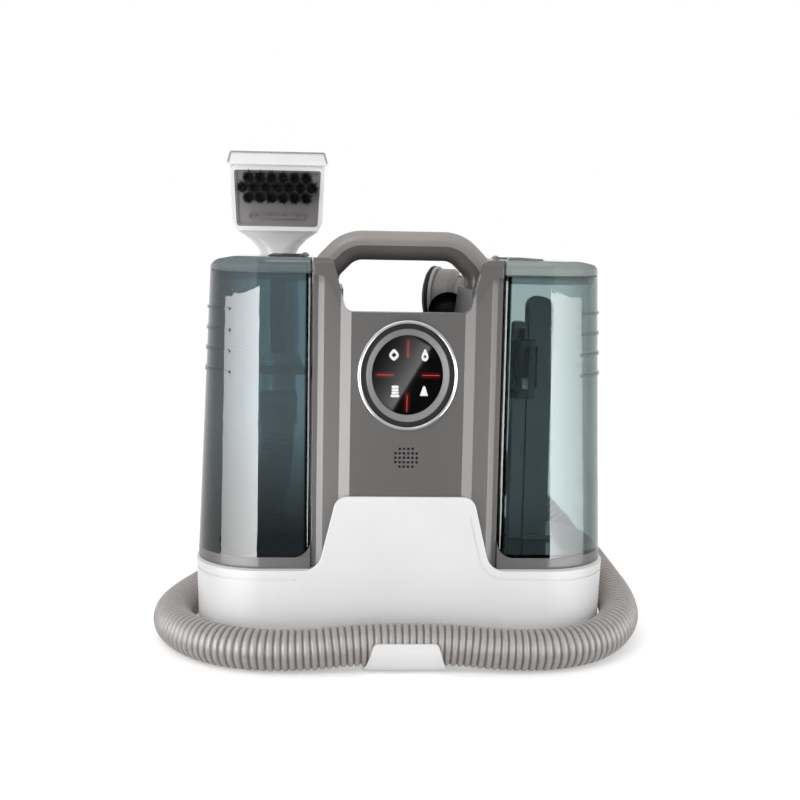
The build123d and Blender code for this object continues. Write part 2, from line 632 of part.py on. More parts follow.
def riser_duct():
    """Tall square pipe with a round top that brings dirty water up from the port."""
    x0, x1, y0, y1 = RISER
    base = TRAY_TOP + TANK_WALL
    face = closed([(x0, base), (x1, base), (x1, 284), (x0, 284)], [0.5, 0.5, 9.0, 9.0])
    pipe = along_y(face, y0, y1)
    inner = closed([(x0 + 2, base - 1), (x1 - 2, base - 1), (x1 - 2, 282), (x0 + 2, 282)],
                   [0.5, 0.5, 7.0, 7.0])
    pipe -= along_y(inner, y0 + 2, y1 - 2)
    pipe -= block(x1 - 5, x1 + 1, y0 + 4, y1 - 4, 262, 276)
    return pipe + block(x0 - 0.2, x1 + 4, y0 - 4, y0, base, base + 3)


def air_duct():
    """Shorter duct that leads air back to the fan, with the float's seat in front."""
    x0, x1, y0, y1 = AIR_DUCT
    base = TRAY_TOP + TANK_WALL
    pipe = block(x0, x1, y0, y1, base, 263)
    pipe = fillet(pipe.edges().filter_by(Axis.Y).sort_by(Axis.Z)[-2:], 3.0)
    pipe -= block(x0 + 1.6, x1 - 1.6, y0 + 1.6, y1 - 1.6, base - 1, 261)
    pipe -= block(x0 + 2.5, x1 - 2.5, y0 - 1, y0 + 3, 248, 258)
    return pipe


def float_cage():
    """Slotted cage for the float, fixed to the front of the air duct."""
    x, y = FLOAT_AT
    low, high = 203.0, 250.0
    cage = turned([(0, low), (11, low), (11, high), (0, high)], x, y)
    cage += block(x - 5, x + 5, y, AIR_DUCT[2], 210, 246)
    cage -= rod(x, y, 9.4, low + 2, high - 3)
    cage -= rod(x, y, 4.0, high - 4, high + 1)
    cage -= rod(x, y, 3.0, low - 1, low + 3)
    for angle in (0, 60, -60):
        cage -= Pos(x, y, 228) * Rot(0, 0, angle) * Pos(0, -8, 0) * Box(5, 14, 34)
    return cage


FLOAT_LIFT = 28.0


def float_body():
    x, y = FLOAT_AT
    return turned([(0, 205), (7.5, 205), (9.0, 206.5), (9.0, 214), (5.0, 218.5), (0, 218.5)], x, y)


def port_seals():
    """Rubber rings that the tank ports press on."""
    rings = []
    for side in (-1, 1):
        rings.append(turned([(6.4, BASE_TOP), (9.0, BASE_TOP), (9.0, TRAY_TOP), (6.4, TRAY_TOP)],
                            side * PORT_X, PORT_Y))
    return Compound(rings)


# ---------------------------------------------------------------- fan motor, pump, main board
MOTOR_AT = (0.0, 2.0)
MOTOR_R = 50.0


def motor_mount():
    x, y = MOTOR_AT
    return turned([(36, TRAY_TOP), (MOTOR_R, TRAY_TOP), (MOTOR_R - 2, 89), (36, 89)], x, y)


def motor_housing():
    """Fan scroll below, motor can above, one hollow moulding round the rotor."""
    x, y = MOTOR_AT
    wall = turned([(SHAFT_R + RUN, 89), (MOTOR_R, 89), (MOTOR_R, 124), (38, 132), (38, 176), (30, 184),
                   (SHAFT_R + RUN, 184), (SHAFT_R + RUN, 178), (28, 178), (34, 172), (34, 128),
                   (MOTOR_R - 3, 121), (MOTOR_R - 3, 93), (SHAFT_R + RUN, 93)], x, y)
    for angle in range(0, 360, 60):
        wall -= Pos(x, y, 155) * Rot(0, 0, angle) * Pos(36, 0, 0) * Box(12, 7, 24)
    return wall


def fan_rotor():
    """Shaft with the suction wheel and the motor's armature."""
    x, y = MOTOR_AT
    rotor = turned([(0, 89.5), (SHAFT_R, 89.5), (SHAFT_R, 100), (42, 100), (42, 101.5), (12, 102.5),
                    (12, 112), (SHAFT_R + 2, 112), (SHAFT_R + 2, 134), (24, 134), (24, 168),
                    (SHAFT_R + 2, 168), (SHAFT_R + 2, 175), (SHAFT_R, 175), (SHAFT_R, 187), (0, 187)], x, y)
    for i in range(7):
        vane = Pos(x, y, 106) * Rot(0, 0, i * 360 / 7) * Pos(25, 0, 0) * Box(32, 2, 10.5)
        rotor += vane
    return rotor


def pump():
    """Small vibration pump for the clean water, lying beside the fan."""
    body = block(-66, -40, 50, 68, TRAY_TOP, 106)
    body = fillet(body.edges().filter_by(Axis.Z), 2.5)
    body += rod(-53, 59, 6.5, 106, 124)
    body += rod(-53, 59, 3.0, 124, 134)
    return body


def main_board():
    y = SPINE_REAR + 1
    board = block(-58, 56, y - 1.6, y, 134, 202)
    for x, z, w, h, d in ((-40, 150, 16, 20, 6), (-10, 160, 22, 12, 5), (20, 175, 14, 18, 6), (34, 148, 18, 10, 4)):
        board += block(x - w / 2, x + w / 2, y - 1.6 - d, y - 1.6, z - h / 2, z + h / 2)
    return board


# ---------------------------------------------------------------- back fittings
HOOK_REACH = 131.0
GLAND_AT = (-34.0, 40.0)
GLAND_R = 8.0


def hook(z, up):
    """Cord-wrap hook: round stem and a flat tongue at its end."""
    way = 1 if up else -1
    tongue = closed([(-15, z - way * 9), (15, z - way * 9), (17, z + way * 34), (-17, z + way * 34)],
                    [7.0, 7.0, 9.0, 9.0])
    solid = along_y(tongue, HOOK_REACH - 6, HOOK_REACH)
    solid += rod_y(0, z, HOOK_STEM_R + 3, BACK_REAR + FIT, HOOK_REACH - 6)
    return solid


def cord_hook_upper():
    z = HOOK_HEIGHTS[0]
    solid = hook(z, True)
    solid += rod_y(0, z, HOOK_STEM_R, BACK_REAR - 12.6, BACK_REAR + 1)
    return solid + rod_y(0, z, HOOK_STEM_R + 3, BACK_REAR - 15, BACK_REAR - 12.3)


def cord_hook_lower():
    return Pos(0, -FIT, 0) * hook(HOOK_HEIGHTS[1], False) & block(-50, 50, BACK_REAR, HOOK_REACH + 1, 0, 200) \
        + rod_y(0, HOOK_HEIGHTS[1], HOOK_STEM_R, BACK_REAR, HOOK_REACH - 2)


def cable_gland():
    """Strain-relief collar where the mains lead enters the base."""
    x, z = GLAND_AT
    profile = [(CABLE_R, BACK_REAR - 5), (GLAND_R, BACK_REAR - 5), (GLAND_R, BACK_REAR),
               (GLAND_R + 2.5, BACK_REAR), (GLAND_R + 2.5, BACK_REAR + 2), (5.6, BACK_REAR + 12),
               (CABLE_R, BACK_REAR + 12)]
    ring = revolve(make_face(Polyline(*profile, close=True)), Axis.Y)
    return Pos(x, 0, z) * ring


# ---------------------------------------------------------------- hose elbow
BOOT_LOW = 258.0                # the turning cuff ends under the fixed boot
BOOT_MIDDLE = 265.0             # centre of the boot's dome
BOOT_R = HOSE_R + 1.0
SWIVEL_R = HOSE_R + 1.7         # outer radius of the turning cuff
SWIVEL_ROOM = 1.4               # round the cuff, as it turns


def boot_dome(gap=0.0):
    """Domed black boot in which the hose ends under the drum."""
    x, y = SWIVEL_AT
    upright = (Align.CENTER, Align.CENTER, Align.MIN)
    dome = Pos(x, y, BOOT_MIDDLE) * Sphere(BOOT_R + gap, arc_size1=0, align=upright)
    return rod(x, y, BOOT_R + gap, BOOT_LOW, BOOT_MIDDLE) + dome


def elbow_mouth():
    """Arched opening in the front of the drum that shows the boot."""
    half = BOOT_R + 0.5
    arch = Pos(SWIVEL_AT[0], BOOT_MIDDLE) * Circle(half)
    arch += Pos(SWIVEL_AT[0], BOOT_MIDDLE - 15) * Rectangle(2 * half, 30)
    return along_y(arch, SPINE_REAR, SWIVEL_AT[1] - 4)


def about_elbow(profile):
    """Revolve an (along, r) outline about the drum's axis, with room for boot, cuff and cover."""
    x, y = SWIVEL_AT
    drum = Rot(0, 0, -ELBOW_TURN) * revolve(make_face(Polyline(*profile, close=True)), Axis.X)
    drum = Pos(ELBOW_MIDDLE, y, ELBOW_HEIGHT) * drum
    drum -= elbow_mouth()
    drum -= boot_dome(FIT)
    drum -= rod(x, y, SWIVEL_R + SWIVEL_ROOM, 200, BOOT_LOW + 0.1)
    drum -= block(TOWER[0], 100, y - 60, y + 60, 200, 330)
    return drum - block(0, 100, 60, BACK_REAR + FIT, 200, DECK_REAR + FIT)


def hose_elbow():
    """Grey drum on the back cover's pad, turned a little to the back."""
    return about_elbow([(-8.6, 0), (-8.6, 24.0), (-6.7, 24.0), (-6.7, 25.5), (5.5, 25.5), (8.0, 23.5),
                        (10.5, 18.0), (24, 18.0), (24, 0)])


def elbow_trim_ring():
    return about_elbow([(-12.1, 0), (-12.1, 26.6), (-11.4, 27.5), (-9.2, 27.5), (-8.6, 26.8), (-8.6, 0)])


def elbow_end_cap():
    return about_elbow([(-20, 0), (-20, 14), (-19, 20), (-17, 25), (-15, 27.6), (-14, 28.0),
                        (-12.1, 28.0), (-12.1, 0)])


def elbow_boot():
    """Fixed black boot with the spigot that the cuff turns on."""
    spigot = turned([(0, HOSE_TOP + 8), (13.2, HOSE_TOP + 8), (13.2, HOSE_TOP + 11), (12.0, HOSE_TOP + 12),
                     (12.0, BOOT_LOW + 1), (0, BOOT_LOW + 1)], *SWIVEL_AT)
    return boot_dome() + spigot


def elbow_cuff():
    """Rubber cuff that turns on the boot's spigot and holds the end of the hose."""
    x, y = SWIVEL_AT
    cuff = rod(x, y, SWIVEL_R - 1.1, HOSE_TOP, BOOT_LOW - FIT)
    wide, narrow = 13.2 + RUN, 12.0 + RUN
    cuff -= turned([(0, HOSE_TOP + 7.6), (wide, HOSE_TOP + 7.6), (wide, HOSE_TOP + 11.1),
                    (narrow, HOSE_TOP + 12.1), (narrow, BOOT_LOW + 1), (0, BOOT_LOW + 1)], x, y)
    for z in (243, 248, 253):
        cuff += rod(x, y, SWIVEL_R, z, z + 2.4) - rod(x, y, SWIVEL_R - 1.2, z - 1, z + 4)
    return cuff


# ---------------------------------------------------------------- hose
# centre line from the wand's cuff, round the foot of the base, up to the elbow's cuff
HOSE_ROUTE = [
    (-107, 110, WAND_FOOT), (-107, 110, 117), (-119, 103, 78), (-138, 86, 46), (-161, 59, 25),
    (-181, 25, 16.7), (-189, -15, 16.3), (-183, -57, 16.3), (-159, -92, 16.3), (-122, -113, 16.3),
    (-78, -115, 16.5), (-33, -111, 20.6), (33, -111, 20.6), (78, -115, 16.5), (119, -113, 16.3),
    (156, -93, 16.3), (180, -58, 16.6), (187, -14, 17.4), (184, 28, 24), (170, 66, 43),
    (147, 95, 70), (119, 111, 100), (88, 115, 132), (60, 108, 166), (46, 104, 206), (46, 104, HOSE_TOP)]


def bend_radii(points):
    """Largest arc that fits each corner: 0.45 of the shorter run over the half turn."""
    radii = []
    for before, here, after in zip(points, points[1:], points[2:]):
        run_in, run_out = Vector(*here) - Vector(*before), Vector(*after) - Vector(*here)
        half_turn = math.radians(run_in.get_angle(run_out)) / 2
        radii.append(0.45 * min(run_in.length, run_out.length) / math.tan(half_turn))
    return radii


def hose():
    radii = bend_radii(HOSE_ROUTE)
    path = FilletPolyline(*HOSE_ROUTE, radius=radii)
    section = Plane(origin=path @ 0, z_dir=path % 0) * Circle(HOSE_R)
    tube = sweep(section, path=path)
    print("hose bend radii", [round(r) for r in radii], "length", round(path.length, 1),
          "volume share", round(tube.volume / (math.pi * HOSE_R ** 2 * path.length), 5))
    return tube


# ---------------------------------------------------------------- wand (drawn about its own axis)
DOCK_TOP = 214.0                # the grip's collar rests here, on the dock's ring
TRIGGER_PIVOT = (-9.0, 283.0)   # (y, z) on the wand's axis


def on_wand(shape):
    return Pos(*WAND_AT, 0) * shape


def wand_cuff():
    """Ribbed rubber cuff at the wand's foot that holds the hose."""
    profile = [(0, WAND_FOOT), (CUFF_R, WAND_FOOT), (CUFF_R, WAND_FOOT + 3), (CUFF_R - 1.2, WAND_FOOT + 4)]
    z = WAND_FOOT + 6
    while z < 184:
        profile += [(CUFF_R - 1.2, z), (CUFF_R, z + 1), (CUFF_R, z + 3), (CUFF_R - 1.2, z + 4)]
        z += 6
    profile += [(CUFF_R - 3, 190), (0, 190)]
    return on_wand(turned(profile, 0, 0))


def grip_profile(inset):
    """Half section of the grip: foot, collar that hangs on the dock, swell and shoulder."""
    foot, full, neck = 16.5 - inset, GRIP_R - inset, NECK_R + 0.5 - inset
    collar = [(foot, DOCK_TOP), (full + 4, DOCK_TOP), (full + 4, DOCK_TOP + 4)]
    return [(0, 190 + inset), (foot, 190 + inset), *(collar if inset == 0 else [(foot, DOCK_TOP + 2)]),
            (full, DOCK_TOP + 10), (full + 1, 244), (full, 288), (neck, 300), (neck, 306 - inset),
            (0, 306 - inset)]


def grip_half(front):
    """One of the two grip mouldings; the front one has the trigger's window."""
    half = turned(grip_profile(0), 0, 0) - turned(grip_profile(2.6), 0, 0)
    if front:
        half = half & block(-30, 30, -30, 0, 180, 320)
        half -= block(-6.5, 6.5, -30, -6, 225, 291)
        for side in (-1, 1):
            low, high = sorted((side * 6.5, side * 9.0))
            boss = block(low, high, -13.5, -4.5, 276, 291)
            half += boss
        half -= rod_x(*TRIGGER_PIVOT, TRIGGER_PIN_R + FIT, -9.5, 9.5)
    else:
        half = half & block(-30, 30, 0, 30, 180, 320)
    return on_wand(half)


def trigger():
    """Curved lever in the front of the grip, hung on a cross pin at its top."""
    py, pz = TRIGGER_PIVOT
    blade = Polyline((py - 4, pz + 4), (py - 6, pz - 6), (-20.5, 268), (-24, 255), (-24, 242), (-21.5, 230),
                     (-17.5, 228.5), (-18.5, 241), (-18.5, 254), (py - 1, 272), (py + 4, pz - 3),
                     (py + 4, pz + 3), (py + 1, pz + 5), close=True)
    lever = along_x(make_face(blade), -5.6, 5.6)
    lever -= rod_x(py, pz, TRIGGER_PIN_R + RUN, -7, 7)
    return on_wand(lever)


def trigger_pin():
    return on_wand(rod_x(*TRIGGER_PIVOT, TRIGGER_PIN_R, -9.0, 9.0))


def trigger_spring():
    """Leaf spring inside the grip that pushes the lever out."""
    leaf = Polyline((-11.0, 236), (-10.2, 236), (-10.2, 244), (-15.4, 256.4), (-16.3, 256.4), (-11.0, 243.8),
                    close=True)
    foot = block(-3, 3, -11.0, -6.0, 234, 236)
    return on_wand(along_x(make_face(leaf), -3, 3) + foot)


NOZZLE_LOW = 333.8
NOZZLE_HIGH = 391.0
NOZZLE_FACE = -32.0             # front plane of the nozzle, from the wand's axis
NOZZLE_HALF = 41.3              # half width under the lip
PLATE_LOW = NOZZLE_LOW + 4.0    # faceplate
PLATE_HIGH = NOZZLE_HIGH - 4.6
SLOT_HEIGHT = 347.3             # spray slot


def wand_neck():
    """White neck: round at the grip, sweeping out to the nozzle's width."""
    def stage(z, half_x, half_y, y, corner):
        return Pos(0, y, z) * RectangleRounded(2 * half_x, 2 * half_y, corner)
    stages = [stage(312, NECK_R, NECK_R, 0, NECK_R - 0.1), stage(319, 18.4, 15.3, -1, 13),
              stage(326.5, 25.2, 15.8, -2.2, 11), stage(NOZZLE_LOW, 36.0, 16.5, -3.5, 7)]
    neck = rod(0, 0, NECK_R, 306, 312)
    for low, high in zip(stages, stages[1:]):
        neck += loft([low, high])
    neck -= rod(0, 0, NECK_R - 3, 305, 330)
    return on_wand(neck)


def nozzle_solid(inset):
    """Wedge-shaped hood: broad at the mouth, thin at the lip."""
    front_y = NOZZLE_FACE + (6.0 if inset else 0.0)
    side = closed([(front_y, NOZZLE_LOW + inset), (13 - inset, NOZZLE_LOW + inset),
                   (10 - inset, NOZZLE_LOW + 18), (-18 - inset, NOZZLE_HIGH - inset),
                   (front_y, NOZZLE_HIGH - inset)], [0.5, 7.0 - inset, 9.0, 1.0, 0.5])
    front = both_sides([(35.6 - inset, NOZZLE_LOW + inset), (39.3 - inset, NOZZLE_LOW + 8),
                        (NOZZLE_HALF - inset, NOZZLE_HIGH - inset)], [5.0 - inset, 5.0, 2.0])
    return along_x(side, -50, 50) & along_y(front, NOZZLE_FACE - 1, 30)


def plate_outline(gap):
    """Front view of the mouth that the faceplate is set into."""
    return both_sides([(35.4 - gap, PLATE_LOW + gap), (38.0 - gap, PLATE_HIGH - gap)], [3.0, 2.0])


def nozzle_shell():
    shell = nozzle_solid(0) - nozzle_solid(2.8)
    shell -= along_y(plate_outline(0), NOZZLE_FACE - 2, NOZZLE_FACE + 6)
    shell -= rod(0, 0, NECK_R - 3, NOZZLE_LOW - 1, NOZZLE_LOW + 4)
    return on_wand(shell)


def nozzle_faceplate():
    """Grey plate behind the mouth, with a raised rim and the spray slot."""
    solid = along_y(plate_outline(FIT), NOZZLE_FACE + 1.2, NOZZLE_FACE + 5.4)
    solid -= along_y(offset(plate_outline(FIT), -1.6), NOZZLE_FACE, NOZZLE_FACE + 3.2)
    solid += along_y(Pos(0, SLOT_HEIGHT) * RectangleRounded(52, 4.8, 1.2), NOZZLE_FACE + 2.2, NOZZLE_FACE + 3.4)
    solid -= along_y(Pos(0, SLOT_HEIGHT) * RectangleRounded(48, 2.2, 0.8), NOZZLE_FACE, NOZZLE_FACE + 3.0)
    for x in (-18, -6, 6, 18):
        solid -= rod_y(x, SLOT_HEIGHT, 0.7, NOZZLE_FACE + 2, NOZZLE_FACE + 6)
    return on_wand(solid)


TUFT_ROWS = [(379.9, 6), (371.6, 7), (362.5, 6)]
TUFT_PITCH = 10.3


def brush_tufts():
    """Three staggered rows of bristle tufts standing on the faceplate."""
    tufts = []
    for z, count in TUFT_ROWS:
        for i in range(count):
            x = (i - (count - 1) / 2) * TUFT_PITCH
            tufts.append(on_wand(rod_y(x, z, 2.8, NOZZLE_FACE - 8.5, NOZZLE_FACE + 3.2)))
    return Compound(tufts)


def scraper_lip():
    """Pale lip along the nozzle's top edge, with a raised border."""
    face = both_sides([(44.5, NOZZLE_HIGH), (NOZZLE_HALF, NOZZLE_HIGH + 11.5)], [0.5, 1.6])
    lip = along_y(face, NOZZLE_FACE - 2.0, NOZZLE_FACE + 3.0)
    lip -= along_y(offset(face, -1.4), NOZZLE_FACE - 3, NOZZLE_FACE - 1.2)
    return on_wand(lip)


def spray_jet():
    """Brass spray manifold behind the slot."""
    bar = along_y(Pos(0, SLOT_HEIGHT) * RectangleRounded(46, 7, 2), NOZZLE_FACE + 5.4, NOZZLE_FACE + 10)
    return on_wand(bar + rod_y(0, SLOT_HEIGHT, 3.0, NOZZLE_FACE + 10, NOZZLE_FACE + 16))


def wand_dock():
    """Bracket on the back cover: an open ring under the grip's collar, on an arm and a web."""
    x, y = WAND_AT
    top, low = DOCK_TOP - FIT, DOCK_TOP - 8
    hole = CUFF_R + 0.6
    arm = block(x, -44, BACK_REAR, BACK_REAR + 9, low, top)
    ring = rod(x, y, hole + 4, low, top) + arm
    ring -= rod(x, y, hole, low - 1, top + 1)
    # mouth that lets the hose out once the cuff is above the ring
    ring -= Pos(x, y, low) * Rot(0, 0, 150) * Pos(15, 0, 0) * Box(30, 2 * HOSE_R + 1.5, 30)
    plate = block(-BACK_HALF + 17, -44, BACK_REAR, BACK_REAR + 4, 190, 250)
    web = Polyline((-80, low), (-53, low), (-53, 190), (-58, 190), close=True)
    return ring + plate + along_y(make_face(web), BACK_REAR, BACK_REAR + 4)


# ---------------------------------------------------------------- screws
def screws():
    """Pan-head screws: under the base, in the hose cradle and in the back cover."""
    heads = []
    for x, y in ((-60, -50), (60, -50), (-60, 40), (60, 40)):
        heads.append(rod(x, y, 3.2, BASE_BOTTOM - 1.6, BASE_BOTTOM))
    cradle_low = CRADLE_HOSE[1] - CRADLE_R - CRADLE_WALL
    for x in (-14, 14):
        heads.append(rod(x, BASE_FRONT + 30, 3.0, cradle_low - 0.6, cradle_low))
    for x in (-49, 49):
        for z in (94, 176):
            heads.append(rod_y(x, z, 3.2, BACK_REAR, BACK_REAR + 1.2))
    return Compound(heads)


# ---------------------------------------------------------------- write one file per piece
def mirrored(shape):
    return mirror(shape, about=Plane.YZ)


PIECES = {
    "base_shell": base_shell, "bottom_plate": bottom_plate, "rubber_feet": rubber_feet,
    "hose_cradle": hose_cradle, "main_housing": main_housing, "front_cover": front_cover,
    "back_cover": back_cover, "exhaust_grille": exhaust_grille,
    "carry_handle_top": lambda: handle_half(True), "carry_handle_bottom": lambda: handle_half(False),
    "dial_ring": dial_ring, "dial_bezel": dial_bezel, "touch_glass": touch_glass,
    "control_board": control_board, "speaker": speaker,
    "clean_tank": lambda: mirrored(tank_shell()), "clean_tank_lid": lambda: mirrored(tank_lid()),
    "clean_tank_seal": lambda: mirrored(tank_seal()), "clean_tank_handle": lambda: mirrored(tank_bail()),
    "clean_valve_body": valve_body, "clean_valve_poppet": valve_poppet, "clean_valve_spring": valve_spring,
    "dirty_tank": tank_shell, "dirty_tank_lid": tank_lid, "dirty_tank_seal": tank_seal,
    "dirty_tank_handle": tank_bail, "riser_duct": riser_duct, "air_duct": air_duct,
    "float_cage": float_cage, "float": float_body, "port_seals": port_seals,
    "motor_mount": motor_mount, "motor_housing": motor_housing, "fan_rotor": fan_rotor,
    "pump": pump, "main_board": main_board,
    "cord_hook_upper": cord_hook_upper, "cord_hook_lower": cord_hook_lower, "cable_gland": cable_gland,
    "hose_elbow": hose_elbow, "elbow_end_cap": elbow_end_cap, "elbow_trim_ring": elbow_trim_ring,
    "elbow_boot": elbow_boot, "elbow_cuff": elbow_cuff, "hose": hose,
    "wand_cuff": wand_cuff, "wand_grip_front": lambda: grip_half(True),
    "wand_grip_rear": lambda: grip_half(False), "trigger": trigger, "trigger_pin": trigger_pin,
    "trigger_spring": trigger_spring, "wand_neck": wand_neck, "nozzle_shell": nozzle_shell,
    "nozzle_faceplate": nozzle_faceplate, "brush_tufts": brush_tufts, "scraper_lip": scraper_lip,
    "spray_jet": spray_jet, "wand_dock": wand_dock, "screws": screws,
}

os.makedirs("parts", exist_ok=True)
for name, make in PIECES.items():
    export_step(make(), f"parts/{name}.step")
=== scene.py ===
import math

import bmesh
import bpy
from mathutils import Matrix, Quaternion, Vector


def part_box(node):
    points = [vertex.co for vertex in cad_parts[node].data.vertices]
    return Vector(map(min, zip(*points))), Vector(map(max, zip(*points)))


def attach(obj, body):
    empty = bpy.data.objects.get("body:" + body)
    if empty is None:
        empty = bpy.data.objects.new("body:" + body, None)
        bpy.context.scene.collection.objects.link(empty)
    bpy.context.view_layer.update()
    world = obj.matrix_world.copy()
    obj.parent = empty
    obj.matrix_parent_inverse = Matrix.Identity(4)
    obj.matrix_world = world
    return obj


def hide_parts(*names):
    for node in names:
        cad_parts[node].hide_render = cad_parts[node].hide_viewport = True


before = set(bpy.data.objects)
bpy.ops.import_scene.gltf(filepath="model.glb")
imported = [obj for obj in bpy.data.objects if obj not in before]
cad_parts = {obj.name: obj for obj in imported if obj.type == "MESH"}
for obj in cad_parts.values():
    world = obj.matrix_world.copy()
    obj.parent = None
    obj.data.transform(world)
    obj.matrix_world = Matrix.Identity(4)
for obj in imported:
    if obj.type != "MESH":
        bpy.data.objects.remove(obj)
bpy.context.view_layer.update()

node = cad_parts
for part in bpy.context.selected_objects:
    part.select_set(False)


# ---- Camera
# A medium lens about a metre in front, a little left of the middle and above the handle,
# looking slightly down.
CAMERA_AT = Vector((-0.0627, -1.0381, 0.3300))
CAMERA_LOOK = Vector((0.0593, 0.9899, -0.1288))
CAMERA_ROLL = math.radians(1.06)
CAMERA_LENS, CAMERA_SENSOR = 56.25, 36.0    # mm

bpy.ops.object.camera_add(location=CAMERA_AT)
camera = bpy.context.object
camera.rotation_mode = "QUATERNION"
camera.rotation_quaternion = (CAMERA_LOOK.to_track_quat("-Z", "Y") @
                              Quaternion((0, 0, 1), CAMERA_ROLL))
camera.data.lens, camera.data.sensor_width = CAMERA_LENS, CAMERA_SENSOR
bpy.context.scene.camera = camera


# ---- Suction hose
# Ribbed grey plastic hose, 32 mm outside. It leaves the cuff under the rear elbow, goes once
# round the foot of the base, through the front cradle, and up to the cuff of the wand.
HOSE_DIAMETER = 0.032
RIB_PITCH = 0.0054
RIB_DEPTH = 0.0017
RIB_PROFILE = [(0.00, 0.00), (0.09, 0.30), (0.20, 0.76), (0.34, 0.97), (0.50, 1.00), (0.66, 0.94),
               (0.80, 0.68), (0.91, 0.26)]        # share of the pitch, share of the rib's height
HOSE_SIDES = 36
PLAIN_END = 0.002           # smooth length before the first rib and after the last
LINE_STEPS = 24             # points of the drawn line for each control point
HOSE_ROUTE = [
    (-0.107, 0.110, 0.158), (-0.107, 0.110, 0.117), (-0.119, 0.103, 0.078), (-0.137, 0.086, 0.044),
    (-0.159, 0.059, 0.0225), (-0.181, 0.025, 0.0167), (-0.189, -0.015, 0.0163),
    (-0.182, -0.055, 0.0163), (-0.1585, -0.0905, 0.0163), (-0.122, -0.112, 0.0163),
    (-0.078, -0.115, 0.0165), (-0.033, -0.111, 0.0206), (0.033, -0.111, 0.0206),
    (0.078, -0.1145, 0.0163), (0.119, -0.1125, 0.0163), (0.1555, -0.093, 0.0172),
    (0.180, -0.058, 0.0225), (0.1865, -0.015, 0.0265), (0.184, 0.027, 0.0315),
    (0.1715, 0.066, 0.0485), (0.148, 0.095, 0.073), (0.119, 0.111, 0.100), (0.088, 0.115, 0.132),
    (0.060, 0.108, 0.166), (0.046, 0.104, 0.206), (0.046, 0.104, 0.240)]


def smooth_line(name, points, resolution):
    """Points along the NURBS spline whose control points are the route's."""
    curve = bpy.data.curves.new(name, "CURVE")
    curve.dimensions = "3D"
    spline = curve.splines.new("NURBS")
    spline.points.add(len(points) - 1)
    for control, at in zip(spline.points, points):
        control.co = (*at, 1.0)
    spline.order_u = 3
    spline.use_endpoint_u = True
    spline.resolution_u = resolution
    holder = bpy.data.objects.new(name, curve)
    bpy.context.scene.collection.objects.link(holder)
    bpy.context.view_layer.update()
    mesh = bpy.data.meshes.new_from_object(holder)
    line = [v.co.copy() for v in mesh.vertices]
    bpy.data.objects.remove(holder)
    bpy.data.meshes.remove(mesh)
    return line


def along_line(line, distances):
    """Point and direction at each distance along a line of points."""
    reached, found, i = 0.0, [], 0
    for distance in distances:
        while i < len(line) - 2 and reached + (line[i + 1] - line[i]).length < distance:
            reached += (line[i + 1] - line[i]).length
            i += 1
        step = line[i + 1] - line[i]
        share = (distance - reached) / step.length
        here = line[i] + step * share
        before = line[i] - line[i - 1] if i else step
        after = line[i + 2] - line[i + 1] if i < len(line) - 2 else step
        turn = (before.normalized() + step.normalized()).lerp(
            step.normalized() + after.normalized(), min(max(share, 0.0), 1.0))
        found.append((here, turn.normalized()))
    return found


def swept_rings(line, stations, sides):
    """Rings of vertices at (distance, radius) stations, carried along without twisting."""
    rings = []
    up = Vector((0.0, 1.0, 0.0))
    for (at, way), (_, radius) in zip(along_line(line, [s[0] for s in stations]), stations):
        up = (up - way * up.dot(way)).normalized()
        side = way.cross(up)
        rings.append([at + (up * math.cos(a) + side * math.sin(a)) * radius
                      for a in (2 * math.pi * k / sides for k in range(sides))])
    return rings


def skinned(name, rings):
    """One smooth piece through the rings, closed at both ends."""
    sides = len(rings[0])
    verts = [v for ring in rings for v in ring]
    faces = []
    for r in range(len(rings) - 1):
        for k in range(sides):
            a, b = r * sides + k, r * sides + (k + 1) % sides
            faces.append((a, b, b + sides, a + sides))
    faces.append(tuple(reversed(range(sides))))
    faces.append(tuple(range(len(verts) - sides, len(verts))))
    mesh = bpy.data.meshes.new(name)
    mesh.from_pydata(verts, [], faces)
    mesh.polygons.foreach_set("use_smooth", [True] * len(mesh.polygons))
    piece = bpy.data.objects.new(name, mesh)
    bpy.context.scene.collection.objects.link(piece)
    shape = bmesh.new()
    shape.from_mesh(mesh)
    bmesh.ops.recalc_face_normals(shape, faces=shape.faces)
    shape.to_mesh(mesh)
    shape.free()
    return piece


hose_line = smooth_line("hose_line", HOSE_ROUTE, LINE_STEPS)
hose_run = sum((b - a).length for a, b in zip(hose_line, hose_line[1:]))
ribbed_run = hose_run - 2 * PLAIN_END
rib_count = round(ribbed_run / RIB_PITCH)
groove_radius = HOSE_DIAMETER / 2 - RIB_DEPTH
hose_stations = [(0.0, groove_radius)]
for rib in range(rib_count):
    for share, height in RIB_PROFILE:
        hose_stations.append((PLAIN_END + (rib + share) * ribbed_run / rib_count,
                              groove_radius + RIB_DEPTH * height))
hose_stations.append((hose_run, groove_radius))
hose = skinned("ribbed_hose", swept_rings(hose_line, hose_stations, HOSE_SIDES))

# the grooves between ribs are painted darker than the crests, as painted shade
ridge = hose.data.attributes.new("ridge", "FLOAT", "POINT")
for index, (_, radius) in enumerate(hose_stations):
    share = (radius - groove_radius) / RIB_DEPTH
    for k in range(HOSE_SIDES):
        ridge.data[index * HOSE_SIDES + k].value = share


def surface(name, roughness, metallic=0.0):
    """New material: returns it with its node tree and its shader."""
    finish = bpy.data.materials.new(name)
    finish.use_nodes = True
    tree = finish.node_tree
    shader = tree.nodes["Principled BSDF"]
    shader.inputs["Roughness"].default_value = roughness
    shader.inputs["Metallic"].default_value = metallic
    return finish, tree, shader


